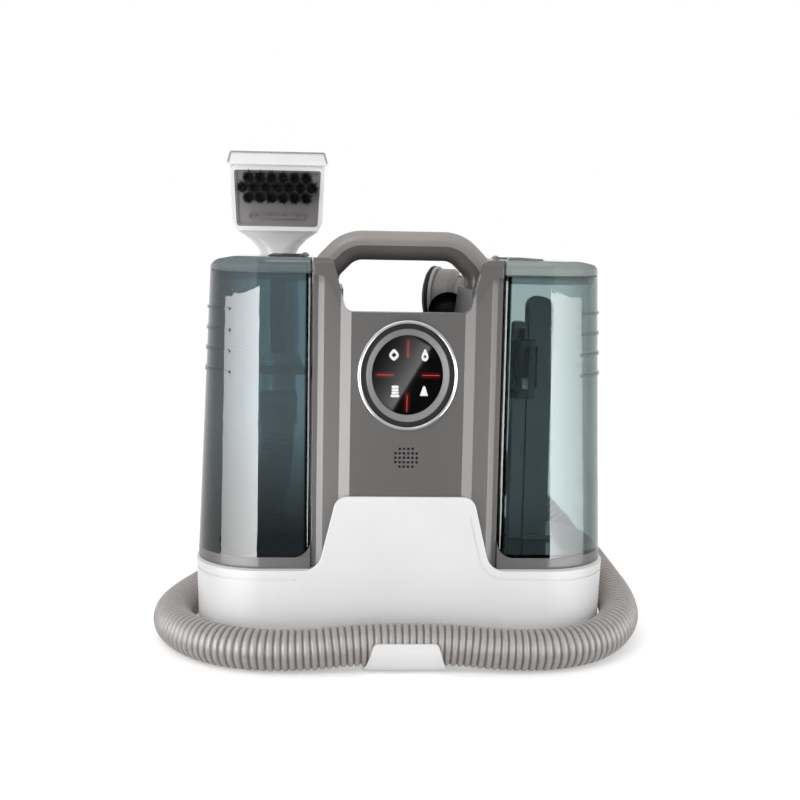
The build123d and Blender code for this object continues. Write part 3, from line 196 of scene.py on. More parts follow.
def noise_at(tree, scale, detail, stretch=(1, 1, 1)):
    """Noise on the piece's own coordinates, in metres."""
    place = tree.nodes.new("ShaderNodeTexCoord")
    mapping = tree.nodes.new("ShaderNodeMapping")
    mapping.inputs["Scale"].default_value = stretch
    noise = tree.nodes.new("ShaderNodeTexNoise")
    noise.inputs["Scale"].default_value = scale
    noise.inputs["Detail"].default_value = detail
    tree.links.new(place.outputs["Object"], mapping.inputs["Vector"])
    tree.links.new(mapping.outputs["Vector"], noise.inputs["Vector"])
    return noise.outputs["Fac"]


def shade_between(tree, fac, dark, light, low=0.3, high=0.7):
    """Colour ramp from dark to light."""
    ramp = tree.nodes.new("ShaderNodeValToRGB")
    ramp.color_ramp.elements[0].position = low
    ramp.color_ramp.elements[1].position = high
    ramp.color_ramp.elements[0].color = (*dark, 1)
    ramp.color_ramp.elements[1].color = (*light, 1)
    tree.links.new(fac, ramp.inputs["Fac"])
    return ramp.outputs["Color"]


def stretched(tree, value, from_low, from_high, to_low=0.0, to_high=1.0):
    """Value carried from one range to another, and held at its ends."""
    ranges = tree.nodes.new("ShaderNodeMapRange")
    for name, edge in (("From Min", from_low), ("From Max", from_high),
                       ("To Min", to_low), ("To Max", to_high)):
        ranges.inputs[name].default_value = edge
    tree.links.new(value, ranges.inputs["Value"])
    return ranges


def mixed(tree, share, first, second):
    """First colour where the share is 0, second where it is 1. Each is a socket or plain RGB."""
    mix = tree.nodes.new("ShaderNodeMix")
    mix.data_type = "RGBA"
    tree.links.new(share, mix.inputs["Factor"])
    for colour, socket in ((first, mix.inputs["A"]), (second, mix.inputs["B"])):
        if isinstance(colour, tuple):
            socket.default_value = (*colour, 1)
        else:
            tree.links.new(colour, socket)
    return mix.outputs["Result"]


def rough_between(tree, shader, fac, low, high):
    """Gloss that varies with the noise."""
    tree.links.new(stretched(tree, fac, 0.3, 0.7, low, high).outputs["Result"],
                   shader.inputs["Roughness"])


def bumped(tree, shader, fac, distance):
    """Fine relief, as deep as the distance."""
    bump = tree.nodes.new("ShaderNodeBump")
    bump.inputs["Distance"].default_value = distance
    tree.links.new(fac, bump.inputs["Height"])
    tree.links.new(bump.outputs["Normal"], shader.inputs["Normal"])


def scaled(colour, factor):
    """Colour made lighter or darker."""
    return tuple(c * factor for c in colour)


def painted(piece, finish):
    """Give a CAD node or a new piece this finish all over."""
    piece.data.materials.clear()
    piece.data.materials.append(finish)


def hose_finish():
    """Grey polyethylene: crests paler, grooves painted darker as painted shade, a little speckle.
    """
    finish, tree, shader = surface("ribbed_hose_grey", 0.42)
    # the groove tone is painted shade
    crest, groove_shade_tone = (0.390, 0.365, 0.352), (0.125, 0.113, 0.108)
    height = tree.nodes.new("ShaderNodeAttribute")
    height.attribute_name = "ridge"
    base = shade_between(tree, height.outputs["Fac"], groove_shade_tone, crest, 0.05, 0.95)
    speckle = shade_between(tree, noise_at(tree, 260, 3), (0.86, 0.86, 0.86), (1, 1, 1))
    mix = tree.nodes.new("ShaderNodeMix")
    mix.data_type = "RGBA"
    mix.blend_type = "MULTIPLY"
    mix.inputs["Factor"].default_value = 1.0
    tree.links.new(base, mix.inputs["A"])
    tree.links.new(speckle, mix.inputs["B"])
    tree.links.new(mix.outputs["Result"], shader.inputs["Base Color"])
    fine = noise_at(tree, 2400, 2)
    rough_between(tree, shader, fine, 0.36, 0.50)
    bumped(tree, shader, fine, 0.00003)
    return finish


painted(hose, hose_finish())
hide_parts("hose")
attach(hose, "machine")


# ---- Studio
# White sweep and soft light from all round. A tall soft box each side shows as an upright band in
# glossy plastic, and a black flag in front keeps the flat face and the glass of the dial dark.
AMBIENT = 0.74              # strength of the even light from all round
FLOOR_GLOW = 0.38           # lifts the floor to plain white where it is looked at
FLOOR_RADIUS = 40.0


def maths(tree, operation, first, second=0.0):
    """Socket with the result of one operation. First and second are sockets or numbers."""
    math_node = tree.nodes.new("ShaderNodeMath")
    math_node.operation = operation
    for socket, value in zip(math_node.inputs, (first, second)):
        if isinstance(value, (int, float)):
            socket.default_value = value
        else:
            tree.links.new(value, socket)
    return math_node.outputs[0]


def looked_at(tree):
    """1 for rays that the camera, a mirror or glass sends, and 0 for scattered light."""
    rays = tree.nodes.new("ShaderNodeLightPath").outputs
    seen_in = maths(tree, "MAXIMUM", rays["Is Glossy Ray"], rays["Is Transmission Ray"])
    return maths(tree, "MAXIMUM", rays["Is Camera Ray"], seen_in)


world = bpy.data.worlds.new("studio")
bpy.context.scene.world = world
world.use_nodes = True
sky = world.node_tree
ambient = sky.nodes["Background"]
plain_white = sky.nodes.new("ShaderNodeBackground")
for backdrop, strength in ((ambient, AMBIENT), (plain_white, 1.0)):
    backdrop.inputs["Color"].default_value = (1, 1, 1, 1)
    backdrop.inputs["Strength"].default_value = strength
sky_mix = sky.nodes.new("ShaderNodeMixShader")
sky.links.new(looked_at(sky), sky_mix.inputs["Fac"])
sky.links.new(ambient.outputs[0], sky_mix.inputs[1])
sky.links.new(plain_white.outputs[0], sky_mix.inputs[2])
sky.links.new(sky_mix.outputs[0], sky.nodes["World Output"].inputs["Surface"])

bpy.ops.mesh.primitive_circle_add(vertices=96, radius=FLOOR_RADIUS, fill_type="NGON",
                                  location=(0, 0, -0.0005))
floor = bpy.context.object
floor.name = "floor"
bpy.ops.object.transform_apply(location=True)
floor_finish, floor_tree, floor_shader = surface("white_floor", 0.9)
floor_shader.inputs["Base Color"].default_value = (0.86, 0.86, 0.86, 1)
floor_shader.inputs["Specular IOR Level"].default_value = 0.0
floor_shader.inputs["Emission Color"].default_value = (1, 1, 1, 1)
floor_tree.links.new(maths(floor_tree, "MULTIPLY", looked_at(floor_tree), FLOOR_GLOW),
                     floor_shader.inputs["Emission Strength"])
painted(floor, floor_finish)


def area_lamp(name, at, towards, size, energy):
    """Square lamp that faces along a direction."""
    bpy.ops.object.light_add(type="AREA", location=at)
    lamp = bpy.context.object
    lamp.name = name
    lamp.data.size = size
    lamp.data.energy = energy
    lamp.rotation_mode = "QUATERNION"
    lamp.rotation_quaternion = Vector(towards).to_track_quat("-Z", "Y")
    return lamp


area_lamp("key_light", (-0.9, -2.2, 2.4), (0.9, 2.2, -2.25), 1.6, 26.0)
front_fill = area_lamp("front_fill", (-0.35, -1.75, 0.22), (0.35, 1.75, -0.05), 1.1, 5.0)
front_fill.visible_glossy = False
front_fill.visible_transmission = False


def studio_card(name, corners, near, far, falloff=1.0):
    """Flat card that only glossy surfaces see. Its glow falls off from its near edge to its far
    edge, and its corners go round from the near edge: near foot, far foot, far top, near top."""
    bpy.ops.mesh.primitive_plane_add(size=2.0)
    card = bpy.context.object
    card.name = name
    for corner, at in zip((0, 1, 3, 2), corners):
        card.data.vertices[corner].co = at
    card.visible_camera = False
    card.visible_diffuse = False
    card.visible_transmission = False
    card.visible_shadow = False
    glow = bpy.data.materials.new(name + "_glow")
    glow.use_nodes = True
    tree = glow.node_tree
    tree.nodes.remove(tree.nodes["Principled BSDF"])
    emission = tree.nodes.new("ShaderNodeEmission")
    place = tree.nodes.new("ShaderNodeTexCoord")
    split = tree.nodes.new("ShaderNodeSeparateXYZ")
    tree.links.new(place.outputs["UV"], split.inputs["Vector"])
    to_far_edge = maths(tree, "SUBTRACT", 1.0, split.outputs["X"])
    level = stretched(tree, maths(tree, "POWER", to_far_edge, falloff), 1.0, 0.0, near, far)
    tree.links.new(level.outputs["Result"], emission.inputs["Strength"])
    tree.links.new(emission.outputs[0], tree.nodes["Material Output"].inputs["Surface"])
    painted(card, glow)


studio_card("left_soft_box", [(-0.183, -0.513, 0.003), (-0.575, -0.160, 0.003),
                              (-0.590, -0.040, 0.280), (-0.300, -0.483, 0.280)], 16.0, 6.5)
studio_card("left_floor_strip", [(-0.149, -0.297, 0.003), (-0.360, -0.112, 0.003),
                                 (-0.575, -0.160, 0.003), (-0.183, -0.513, 0.003)], 15.0, 6.0)
studio_card("right_soft_box", [(0.246, -0.500, 0.003), (0.586, -0.085, 0.003),
                               (0.585, -0.100, 0.280), (0.290, -0.494, 0.280)], 10.0, 4.8)
studio_card("right_floor_strip", [(0.186, -0.290, 0.003), (0.370, -0.074, 0.003),
                                  (0.586, -0.085, 0.003), (0.246, -0.500, 0.003)], 14.0, 3.5)
studio_card("black_flag", [(-0.62, -0.95, 0.0), (0.60, -0.95, 0.0),
                           (0.60, -0.95, 0.80), (-0.62, -0.95, 0.80)], 0.02, 0.02)
studio_card("black_floor", [(-0.60, -0.135, 0.002), (0.60, -0.135, 0.002),
                            (0.60, -0.95, 0.002), (-0.60, -0.95, 0.002)], 0.04, 0.04)
studio_card("dial_sheen", [(0.0348, -0.94, 0.079), (-0.035, -0.94, 0.121),
                           (0.020, -0.94, 0.214), (0.0900, -0.94, 0.172)], 1.9, 0.04, 3.0)


# ---- Base
# White polypropylene tub with a raised shield in front and a hook under it for the hose, closed
# below by a plate on four rubber feet. Smooth satin moulding with a fine spark texture.
def moulded(name, colour, roughness, grain=0.00002, grain_scale=3200, shine=0.5):
    """Injection-moulded plastic: faint drift in tone, fine texture, slightly uneven gloss."""
    finish, tree, shader = surface(name, roughness)
    drift = noise_at(tree, 14, 3)
    tree.links.new(shade_between(tree, drift, scaled(colour, 0.965), scaled(colour, 1.02)),
                   shader.inputs["Base Color"])
    fine = noise_at(tree, grain_scale, 3)
    rough_between(tree, shader, fine, roughness * 0.88, roughness * 1.14)
    bumped(tree, shader, fine, grain)
    shader.inputs["Specular IOR Level"].default_value = shine
    return finish


white_plastic = moulded("white_satin_plastic", (0.84, 0.84, 0.84), 0.34, 0.000012, shine=0.22)
for name in ("base_shell", "hose_cradle"):
    painted(node[name], white_plastic)
painted(node["bottom_plate"],
        moulded("white_coarse_plastic", (0.74, 0.74, 0.74), 0.55, 0.00004, 1600))
foot_rubber = moulded("foot_rubber", (0.035, 0.035, 0.036), 0.72, 0.00006, 1400)
painted(node["rubber_feet"], foot_rubber)


# ---- Housing and covers
# Column between the tanks in warm taupe-grey, spray painted with a fine metallic flake. The
# carry handle is two shells, the lower one painted darker as painted shade under the grip, and
# the back cover holds the exhaust grille.
def flake_paint(name, colour, roughness):
    """Metallic lacquer: flakes catch light under a soft clear coat."""
    finish, tree, shader = surface(name, roughness, 0.10)
    shader.inputs["Specular IOR Level"].default_value = 0.20
    flakes = noise_at(tree, 5200, 1)
    tree.links.new(
        shade_between(tree, flakes, scaled(colour, 0.90), scaled(colour, 1.12), 0.40, 0.62),
        shader.inputs["Base Color"])
    orange_peel = noise_at(tree, 700, 2)
    rough_between(tree, shader, orange_peel, roughness * 0.9, roughness * 1.1)
    bumped(tree, shader, orange_peel, 0.00002)
    shader.inputs["Coat Weight"].default_value = 0.26
    shader.inputs["Coat Roughness"].default_value = 0.06
    return finish


taupe = flake_paint("taupe_flake_paint", (0.122, 0.116, 0.114), 0.42)
for name in ("main_housing", "front_cover"):
    painted(node[name], taupe)
painted(node["carry_handle_top"], flake_paint("handle_taupe_paint", (0.310, 0.290, 0.282), 0.45))
# the lower shell is painted darker than the top, as painted shade under the handle
painted(node["carry_handle_bottom"],
        flake_paint("handle_under_painted_shade", (0.115, 0.108, 0.105), 0.50))
back_taupe = moulded("taupe_textured_plastic", (0.200, 0.183, 0.175), 0.52, 0.00006, 1500)
for name in ("back_cover", "cord_hook_upper", "cord_hook_lower", "wand_dock"):
    painted(node[name], back_taupe)
painted(node["exhaust_grille"],
        moulded("grille_black", (0.030, 0.030, 0.031), 0.5, 0.00005, 1500))


# ---- Dial
# Oval touch dial: chromed ring, dark seat with a satin bevel, black glass, and lit marks just
# proud of the glass: four red strokes and four white symbols.
DIAL_MIDDLE = 0.225
GLASS_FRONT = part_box("touch_glass")[0][1]
MARK_THICK = 0.00014
RING_PAINTED_DARK = (0.0366, 0.0402)       # half widths of the oval inside which the ring is painted dark, as a painted dark reflection
BEZEL_PALE = (0.0322, 0.0362)       # and of the one inside which the bezel is pale
STROKE_HALF = 0.0056                # half the length of a glowing stroke
UPRIGHT_OUT, LEVEL_OUT = 0.0207, 0.0176     # how far out the strokes' middles are
GLOW_REACH = 0.0032


def oval_share(tree, half_x, half_z):
    """How far out a point lies round the dial's middle: 1 on the oval of these half widths."""
    place = tree.nodes.new("ShaderNodeTexCoord")
    centred = tree.nodes.new("ShaderNodeMapping")
    centred.inputs["Location"].default_value = (0, 0, -DIAL_MIDDLE / half_z)
    centred.inputs["Scale"].default_value = (1 / half_x, 0, 1 / half_z)
    reach = tree.nodes.new("ShaderNodeVectorMath")
    reach.operation = "LENGTH"
    tree.links.new(place.outputs["Object"], centred.inputs["Vector"])
    tree.links.new(centred.outputs["Vector"], reach.inputs[0])
    return reach.outputs["Value"]


def inside_oval(tree, shader, halves, inner, outer):
    """Colour the shader with one tone inside an oval round the dial's middle and one outside."""
    edge = stretched(tree, oval_share(tree, *halves), 0.985, 1.0)
    tree.links.new(mixed(tree, edge.outputs["Result"], inner, outer), shader.inputs["Base Color"])


def chrome_finish():
    """Bright plated rim, painted dark on its inner face as a painted dark reflection."""
    finish, tree, shader = surface("ring_chrome", 0.14, 0.45)
    smear = noise_at(tree, 60, 2)
    # inside the oval the chrome's colour is a painted dark reflection
    inside_oval(tree, shader, RING_PAINTED_DARK,
                shade_between(tree, smear, (0.035, 0.035, 0.036), (0.05, 0.05, 0.051)),
                shade_between(tree, smear, (0.62, 0.62, 0.63), (0.72, 0.72, 0.73)))
    rough_between(tree, shader, smear, 0.10, 0.18)
    return finish


def brushed_finish(name, colour, roughness):
    """Metal with fine turning lines round its axis."""
    finish, tree, shader = surface(name, roughness, 1.0)
    lines = noise_at(tree, 900, 2, (1.0, 1.0, 0.15))
    tree.links.new(shade_between(tree, lines, scaled(colour, 0.85), scaled(colour, 1.1)),
                   shader.inputs["Base Color"])
    rough_between(tree, shader, lines, roughness * 0.8, roughness * 1.25)
    bumped(tree, shader, lines, 0.00001)
    return finish


def bezel_finish():
    """Dark satin seat, pale where it slopes down to the glass."""
    finish, tree, shader = surface("bezel_two_tone", 0.42)
    shader.inputs["Specular IOR Level"].default_value = 0.16
    rings = noise_at(tree, 700, 2)
    inside_oval(tree, shader, BEZEL_PALE,
                shade_between(tree, rings, (0.22, 0.22, 0.225), (0.26, 0.26, 0.265)),
                shade_between(tree, rings, (0.014, 0.014, 0.0145), (0.020, 0.020, 0.0205)))
    rough_between(tree, shader, rings, 0.36, 0.50)
    return finish


def place_in(tree):
    """Sockets with the place of a point of the piece: X, Y and Z, in metres."""
    place = tree.nodes.new("ShaderNodeTexCoord")
    split = tree.nodes.new("ShaderNodeSeparateXYZ")
    tree.links.new(place.outputs["Object"], split.inputs["Vector"])
    return split.outputs


def glass_finish():
    """Black backed glass with the odd fingerprint. Red light spreads in it round each stroke."""
    finish, tree, shader = surface("dial_black_glass", 0.03)
    print_marks = noise_at(tree, 120, 4)
    tree.links.new(
        shade_between(tree, print_marks, (0.0015, 0.0015, 0.0015), (0.003, 0.003, 0.003)),
        shader.inputs["Base Color"])
    rough_between(tree, shader, print_marks, 0.02, 0.05)
    shader.inputs["IOR"].default_value = 1.52
    shader.inputs["Coat Weight"].default_value = 1.0
    place = place_in(tree)
    across = maths(tree, "ABSOLUTE", place["X"])
    along = maths(tree, "ABSOLUTE", maths(tree, "SUBTRACT", place["Z"], DIAL_MIDDLE))
    glows = []
    for run, aside, middle in ((along, across, UPRIGHT_OUT), (across, along, LEVEL_OUT)):
        off_middle = maths(tree, "ABSOLUTE", maths(tree, "SUBTRACT", run, middle))
        past_end = maths(tree, "MAXIMUM", maths(tree, "SUBTRACT", off_middle, STROKE_HALF), 0)
        squares = [maths(tree, "POWER", length, 2) for length in (past_end, aside)]
        apart = maths(tree, "SQRT", maths(tree, "ADD", *squares))
        fade = stretched(tree, apart, 0.0, GLOW_REACH, 1.0, 0.0)
        fade.interpolation_type = "SMOOTHSTEP"
        glows.append(fade.outputs["Result"])
    tree.links.new(shade_between(tree, maths(tree, "MAXIMUM", *glows), (0, 0, 0),
                                 (0.115, 0.002, 0.002), 0.0, 1.0),
                   shader.inputs["Emission Color"])
    shader.inputs["Emission Strength"].default_value = 1.0
    return finish


painted(node["dial_ring"], chrome_finish())
painted(node["dial_bezel"], bezel_finish())
painted(node["touch_glass"], glass_finish())


def lit_mark(name, colour, strength):
    """Printed symbol lit from behind, a little uneven."""
    finish, tree, shader = surface(name, 0.4)
    uneven = noise_at(tree, 900, 2)
    glow = shade_between(tree, uneven, scaled(colour, 0.75), colour)
    tree.links.new(glow, shader.inputs["Base Color"])
    tree.links.new(glow, shader.inputs["Emission Color"])
    shader.inputs["Emission Strength"].default_value = strength
    return finish


red_line = lit_mark("stroke_red", (0.33, 0.050, 0.045), 0.8)
symbol_white = lit_mark("symbol_white", (0.62, 0.62, 0.62), 0.55)


def deselected():
    """Clear the selection of objects."""
    for thing in bpy.context.selected_objects:
        thing.select_set(False)


def picked(test):
    """In edit mode, select only the vertices whose place passes the test."""
    bpy.ops.mesh.select_all(action="DESELECT")
    shape = bmesh.from_edit_mesh(bpy.context.object.data)
    for v in shape.verts:
        v.select = test(v.co)
    shape.select_flush(True)
    bmesh.update_edit_mesh(bpy.context.object.data)


def flat_disc(name, sides, radius, at):
    """Start a thin piece: a flat disc that faces the front, in edit mode."""
    deselected()
    bpy.ops.mesh.primitive_circle_add(vertices=sides, radius=radius, fill_type="NGON",
                                      location=at, rotation=(math.pi / 2, 0, 0))
    bpy.context.object.name = name
    bpy.ops.object.transform_apply(location=True, rotation=True, scale=True)
    bpy.ops.object.mode_set(mode="EDIT")


def thickened(depth, finish):
    """End a thin piece: give the flat shape its depth towards the front, and its finish."""
    bpy.ops.mesh.select_all(action="SELECT")
    bpy.ops.mesh.extrude_region_move(TRANSFORM_OT_translate={"value": (0, -depth, 0)})
    bpy.ops.mesh.select_all(action="SELECT")
    bpy.ops.mesh.normals_make_consistent(inside=False)
    bpy.ops.object.mode_set(mode="OBJECT")
    piece = bpy.context.object
    painted(piece, finish)
    return piece


def disc_on_glass(name, sides, radius, x, up):
    """Start a mark just inside the front of the glass, this far up from the dial's middle."""
    flat_disc(name, sides, radius, (x, GLASS_FRONT + 0.00002, DIAL_MIDDLE + up))


def raised_mark(finish):
    """End a mark."""
    mark = thickened(MARK_THICK, finish)
    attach(mark, "machine")


def bar_mark(name, x, up, wide, tall, finish):
    """Round-ended bar: a disc whose halves are drawn apart."""
    thin = min(wide, tall)
    disc_on_glass(name, 24, thin / 2, x, up)
    reach_x, reach_z = (wide - thin) / 2, (tall - thin) / 2
    for side in (-1, 1):
        if reach_x:
            picked(lambda at: side * (at.x - x) > 1e-6)
        else:
            picked(lambda at: side * (at.z - DIAL_MIDDLE - up) > 1e-6)
        bpy.ops.transform.translate(value=(side * reach_x, 0, side * reach_z))
    raised_mark(finish)


LINE = 0.0004               # width of a red stroke
STACK_X, STACK_UP, STACK_BAR = -0.0094, -0.0126, 0.0021
for index, (x, up, wide, tall) in enumerate([
        (0, 0.0200, LINE, 0.0130), (0, -0.0222, LINE, 0.0130),
        (-0.0170, 0, 0.0128, LINE), (0.0182, 0, 0.0135, LINE)]):
    bar_mark(f"red_stroke_{index + 1}", x, up, wide, tall, red_line)
for index, (up, wide) in enumerate([
        (0.0034, 0.0056), (0.0011, 0.0056), (-0.0012, 0.0056), (-0.0036, 0.0068)]):
    bar_mark(f"symbol_stack_{index + 1}", STACK_X, STACK_UP + up, wide, STACK_BAR, symbol_white)


def drop_mark(name, x, up, radius, pulls, rim, hole):
    """Outlined drop: a disc drawn out to points, with a smaller opening taken out of its middle.
    The hole is how much its width and height shrink, and how far up it moves."""
    disc_on_glass(name, 32, radius, x, up)
    for (way_x, way_z), pull in pulls:
        picked(lambda at: (at.x - x) * way_x + (at.z - DIAL_MIDDLE - up) * way_z > radius * 0.98)
        bpy.ops.transform.translate(value=(way_x * pull, 0, way_z * pull),
                                    use_proportional_edit=True, proportional_edit_falloff="SHARP",
                                    proportional_size=radius * 1.3)
    bpy.ops.mesh.select_all(action="SELECT")
    bpy.ops.mesh.inset(thickness=rim)
    bpy.ops.transform.resize(value=(hole[0], 1, hole[1]))
    bpy.ops.transform.translate(value=(0, 0, hole[2]))
    bpy.ops.mesh.delete(type="FACE")
    raised_mark(symbol_white)


drop_mark("symbol_wide_drop", -0.0107, 0.0153, 0.0032,
          [((0, 1), 0.0015), ((0, -1), 0.0009), ((1, 0), 0.0005), ((-1, 0), 0.0005)], 0.0013,
          (0.75, 0.60, 0))
drop_mark("symbol_drop", 0.0132, 0.0140, 0.0027, [((0, 1), 0.0034), ((0, -1), 0.0004)], 0.0012,
          (0.75, 0.45, -0.0006))

# a square stood on its side, with its upper edge drawn in
CONE_X, CONE_UP = 0.0130, -0.0128
cone_middle = (CONE_X, GLASS_FRONT, DIAL_MIDDLE + CONE_UP)
disc_on_glass("symbol_cone", 4, 0.0045, CONE_X, CONE_UP)
bpy.ops.mesh.select_all(action="SELECT")
bpy.ops.transform.rotate(value=math.pi / 4, orient_axis="Y", orient_type="GLOBAL",
                         center_override=cone_middle)
picked(lambda at: at.z > DIAL_MIDDLE + CONE_UP)
bpy.ops.transform.resize(value=(0.22, 1, 1), center_override=cone_middle)
bpy.ops.transform.translate(value=(0, 0, 0.0012))
raised_mark(symbol_white)


# ---- Tanks
# Two tinted clear tanks, 2.5 mm wall, each with a clear lid on a rubber seal and a folding bail.
# The clean tank's plastic is hazier, and a strip of painted shade runs down each tank beside the
# column.
CLEAR_ROUGHNESS = 0.015
FOOT_SHARE = 0.22            # share of the colour left at the foot, where the colour darkens towards the bottom
# colour of the strip of painted shade beside the column
PAINTED_SHADE_TONE = (0.012, 0.020, 0.023)


def tinted_clear(name, losses, haze=0.0, tone=(1, 1, 1), slants=(0.30, 0.90), painted_shade_strip=None,
                 darker_below=None):
    """Tinted clear moulding: each colour fades by its loss for each metre that light crosses. Haze
    is the share of light that the plastic scatters, the strip of painted shade fades out from start
    to end, and the colour darkens below the second height down to the first."""
    finish, tree, shader = surface(name, CLEAR_ROUGHNESS)
    shader.inputs["Transmission Weight"].default_value = 1.0 - haze
    shader.inputs["IOR"].default_value = 1.49
    density = max(losses) * 1.25
    tint = tree.nodes.new("ShaderNodeVolumeAbsorption")
    tint.inputs["Color"].default_value = (*(1 - loss / density for loss in losses), 1)
    tint.inputs["Density"].default_value = density
    tree.links.new(tint.outputs[0], tree.nodes["Material Output"].inputs["Volume"])
    rough_between(tree, shader, noise_at(tree, 900, 3), CLEAR_ROUGHNESS * 0.7,
                  CLEAR_ROUGHNESS * 1.3)
    # the colour darkens where the wall is seen at a slant: painted shade along the tank's edges,
    # added to the darkening that the tint's absorption gives
    slant = tree.nodes.new("ShaderNodeLayerWeight")
    slant.inputs["Blend"].default_value = 0.5
    colour = shade_between(tree, slant.outputs["Facing"], tone, scaled(tone, 0.30), *slants)
    place = place_in(tree)
    # darker towards the foot of the tank
    if darker_below:
        height = stretched(tree, place["Z"], *darker_below, FOOT_SHARE)
        darkened = tree.nodes.new("ShaderNodeVectorMath")
        darkened.operation = "SCALE"
        tree.links.new(colour, darkened.inputs[0])
        tree.links.new(height.outputs["Result"], darkened.inputs["Scale"])
        colour = darkened.outputs["Vector"]
    # a strip of painted shade down the tank beside the column
    if painted_shade_strip:
        past_painted_shade = stretched(tree, place["X"], *painted_shade_strip)
        colour = mixed(tree, past_painted_shade.outputs["Result"], PAINTED_SHADE_TONE, colour)
    tree.links.new(colour, shader.inputs["Base Color"])
    return finish


tank_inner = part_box("dirty_tank")[0][0]
painted(node["clean_tank"], tinted_clear(
    "clean_tank_clear", (156.0, 122.0, 114.0), haze=0.13, tone=(0.40, 0.51, 0.55),
    slants=(0.04, 0.45), painted_shade_strip=(-tank_inner - 0.0040, -tank_inner - 0.0055),
    darker_below=(0.095, 0.185)))
painted(node["dirty_tank"], tinted_clear(
    "dirty_tank_clear", (225.0, 166.0, 166.0), slants=(0.22, 0.78),
    painted_shade_strip=(tank_inner + 0.0045, tank_inner + 0.0060)))
painted(node["clean_tank_lid"], tinted_clear(
    "clean_lid_clear", (120.0, 96.0, 92.0), haze=0.30, tone=(0.42, 0.52, 0.54)))
painted(node["dirty_tank_lid"], tinted_clear(
    "dirty_lid_clear", (90.0, 70.0, 72.0), haze=0.45, tone=(0.58, 0.66, 0.65)))
painted(node["clean_tank_handle"], moulded("bail_dark_plastic", (0.060, 0.066, 0.068), 0.42))
painted(node["dirty_tank_handle"], moulded("bail_grey_plastic", (0.200, 0.215, 0.212), 0.42))
seal_rubber = moulded("seal_rubber", (0.045, 0.055, 0.058), 0.6)
for name in ("clean_tank_seal", "dirty_tank_seal", "port_seals"):
    painted(node[name], seal_rubber)


# ---- Tank insides
# Slate-grey ducts, float and valve in moulded plastic, and the valve's steel spring.
painted(node["riser_duct"], moulded("riser_slate_plastic", (0.105, 0.130, 0.150), 0.45))
painted(node["air_duct"], moulded("air_duct_grey_plastic", (0.150, 0.185, 0.205), 0.45))
painted(node["float_cage"], moulded("cage_dark_plastic", (0.020, 0.032, 0.044), 0.45))
painted(node["clean_valve_body"], moulded("valve_grey_plastic", (0.10, 0.11, 0.115), 0.4))
painted(node["clean_valve_poppet"], moulded("valve_black_plastic", (0.03, 0.03, 0.03), 0.4))
painted(node["float"], moulded("float_foam", (0.62, 0.60, 0.55), 0.8, 0.0002, 900))
spring_steel = brushed_finish("spring_steel", (0.60, 0.60, 0.60), 0.28)
for name in ("clean_valve_spring", "trigger_spring", "trigger_pin", "screws"):
    painted(node[name], spring_steel)


# ---- Motor, pump and boards
# Hidden working parts: cast housing on a rubber ring, aluminium rotor, green boards.
cast_metal = brushed_finish("cast_aluminium", (0.55, 0.55, 0.56), 0.45)
for name in ("motor_housing", "fan_rotor"):
    painted(node[name], cast_metal)
painted(node["motor_mount"], foot_rubber)
painted(node["pump"], moulded("pump_black_plastic", (0.04, 0.04, 0.042), 0.45))
painted(node["speaker"], moulded("speaker_black", (0.02, 0.02, 0.02), 0.6))


def board_finish():
    """Green lacquered board with copper tracks."""
    finish, tree, shader = surface("green_board", 0.35)
    place = tree.nodes.new("ShaderNodeTexCoord")
    tracks = tree.nodes.new("ShaderNodeTexBrick")
    tracks.inputs["Scale"].default_value = 160
    tracks.inputs["Mortar Size"].default_value = 0.012
    tracks.inputs["Color1"].default_value = (0.010, 0.085, 0.035, 1)
    tracks.inputs["Color2"].default_value = (0.012, 0.100, 0.042, 1)
    tracks.inputs["Mortar"].default_value = (0.05, 0.22, 0.09, 1)
    turn = tree.nodes.new("ShaderNodeMapping")
    turn.inputs["Rotation"].default_value = (math.pi / 2, 0, 0)
    tree.links.new(place.outputs["Object"], turn.inputs["Vector"])
    tree.links.new(turn.outputs["Vector"], tracks.inputs["Vector"])
    tree.links.new(tracks.outputs["Color"], shader.inputs["Base Color"])
    return finish


board_green = board_finish()
for name in ("control_board", "main_board"):
    painted(node[name], board_green)


# ---- Hose elbow
# Satin grey drum on the back cover with a pale trim ring, a black end cap and a black boot, and
# under it the rubber cuff that turns with the hose.
painted(node["hose_elbow"], moulded("elbow_grey_plastic", (0.215, 0.208, 0.202), 0.42))
painted(node["elbow_trim_ring"], moulded("elbow_trim_grey", (0.34, 0.33, 0.325), 0.36))
cap_black = moulded("cap_black_plastic", (0.010, 0.010, 0.010), 0.50, 0.00003, 1800, 0.22)
for name in ("elbow_end_cap", "elbow_boot"):
    painted(node[name], cap_black)
cuff_black = moulded("cuff_black_rubber", (0.012, 0.012, 0.012), 0.50, 0.00003, 1800)
for name in ("elbow_cuff", "wand_cuff", "cable_gland"):
    painted(node[name], cuff_black)


# ---- Wand
# White grip of two shells with a grey trigger, a white neck that widens to the nozzle, a grey
# faceplate in its mouth with the spray slot and three rows of tufts, and a pale lip edged in grey.
wand_white = moulded("wand_white_plastic", (0.90, 0.90, 0.90), 0.36, 0.000012)
for name in ("wand_grip_front", "wand_grip_rear", "wand_neck", "nozzle_shell"):
    painted(node[name], wand_white)
painted(node["trigger"], moulded("trigger_grey_plastic", (0.21, 0.20, 0.19), 0.40))
painted(node["nozzle_faceplate"],
        moulded("faceplate_grey_plastic", (0.205, 0.188, 0.188), 0.50))
painted(node["spray_jet"], moulded("jet_grey", (0.120, 0.110, 0.110), 0.50))


LIP_EDGE_DEEP = 0.0007      # how far back from the lip's front its raised edge reaches
LIP_EDGE_FOOT = 0.0020      # and how far above the lip's foot it ends
LIP_EDGE_GREY = (0.33, 0.325, 0.325)


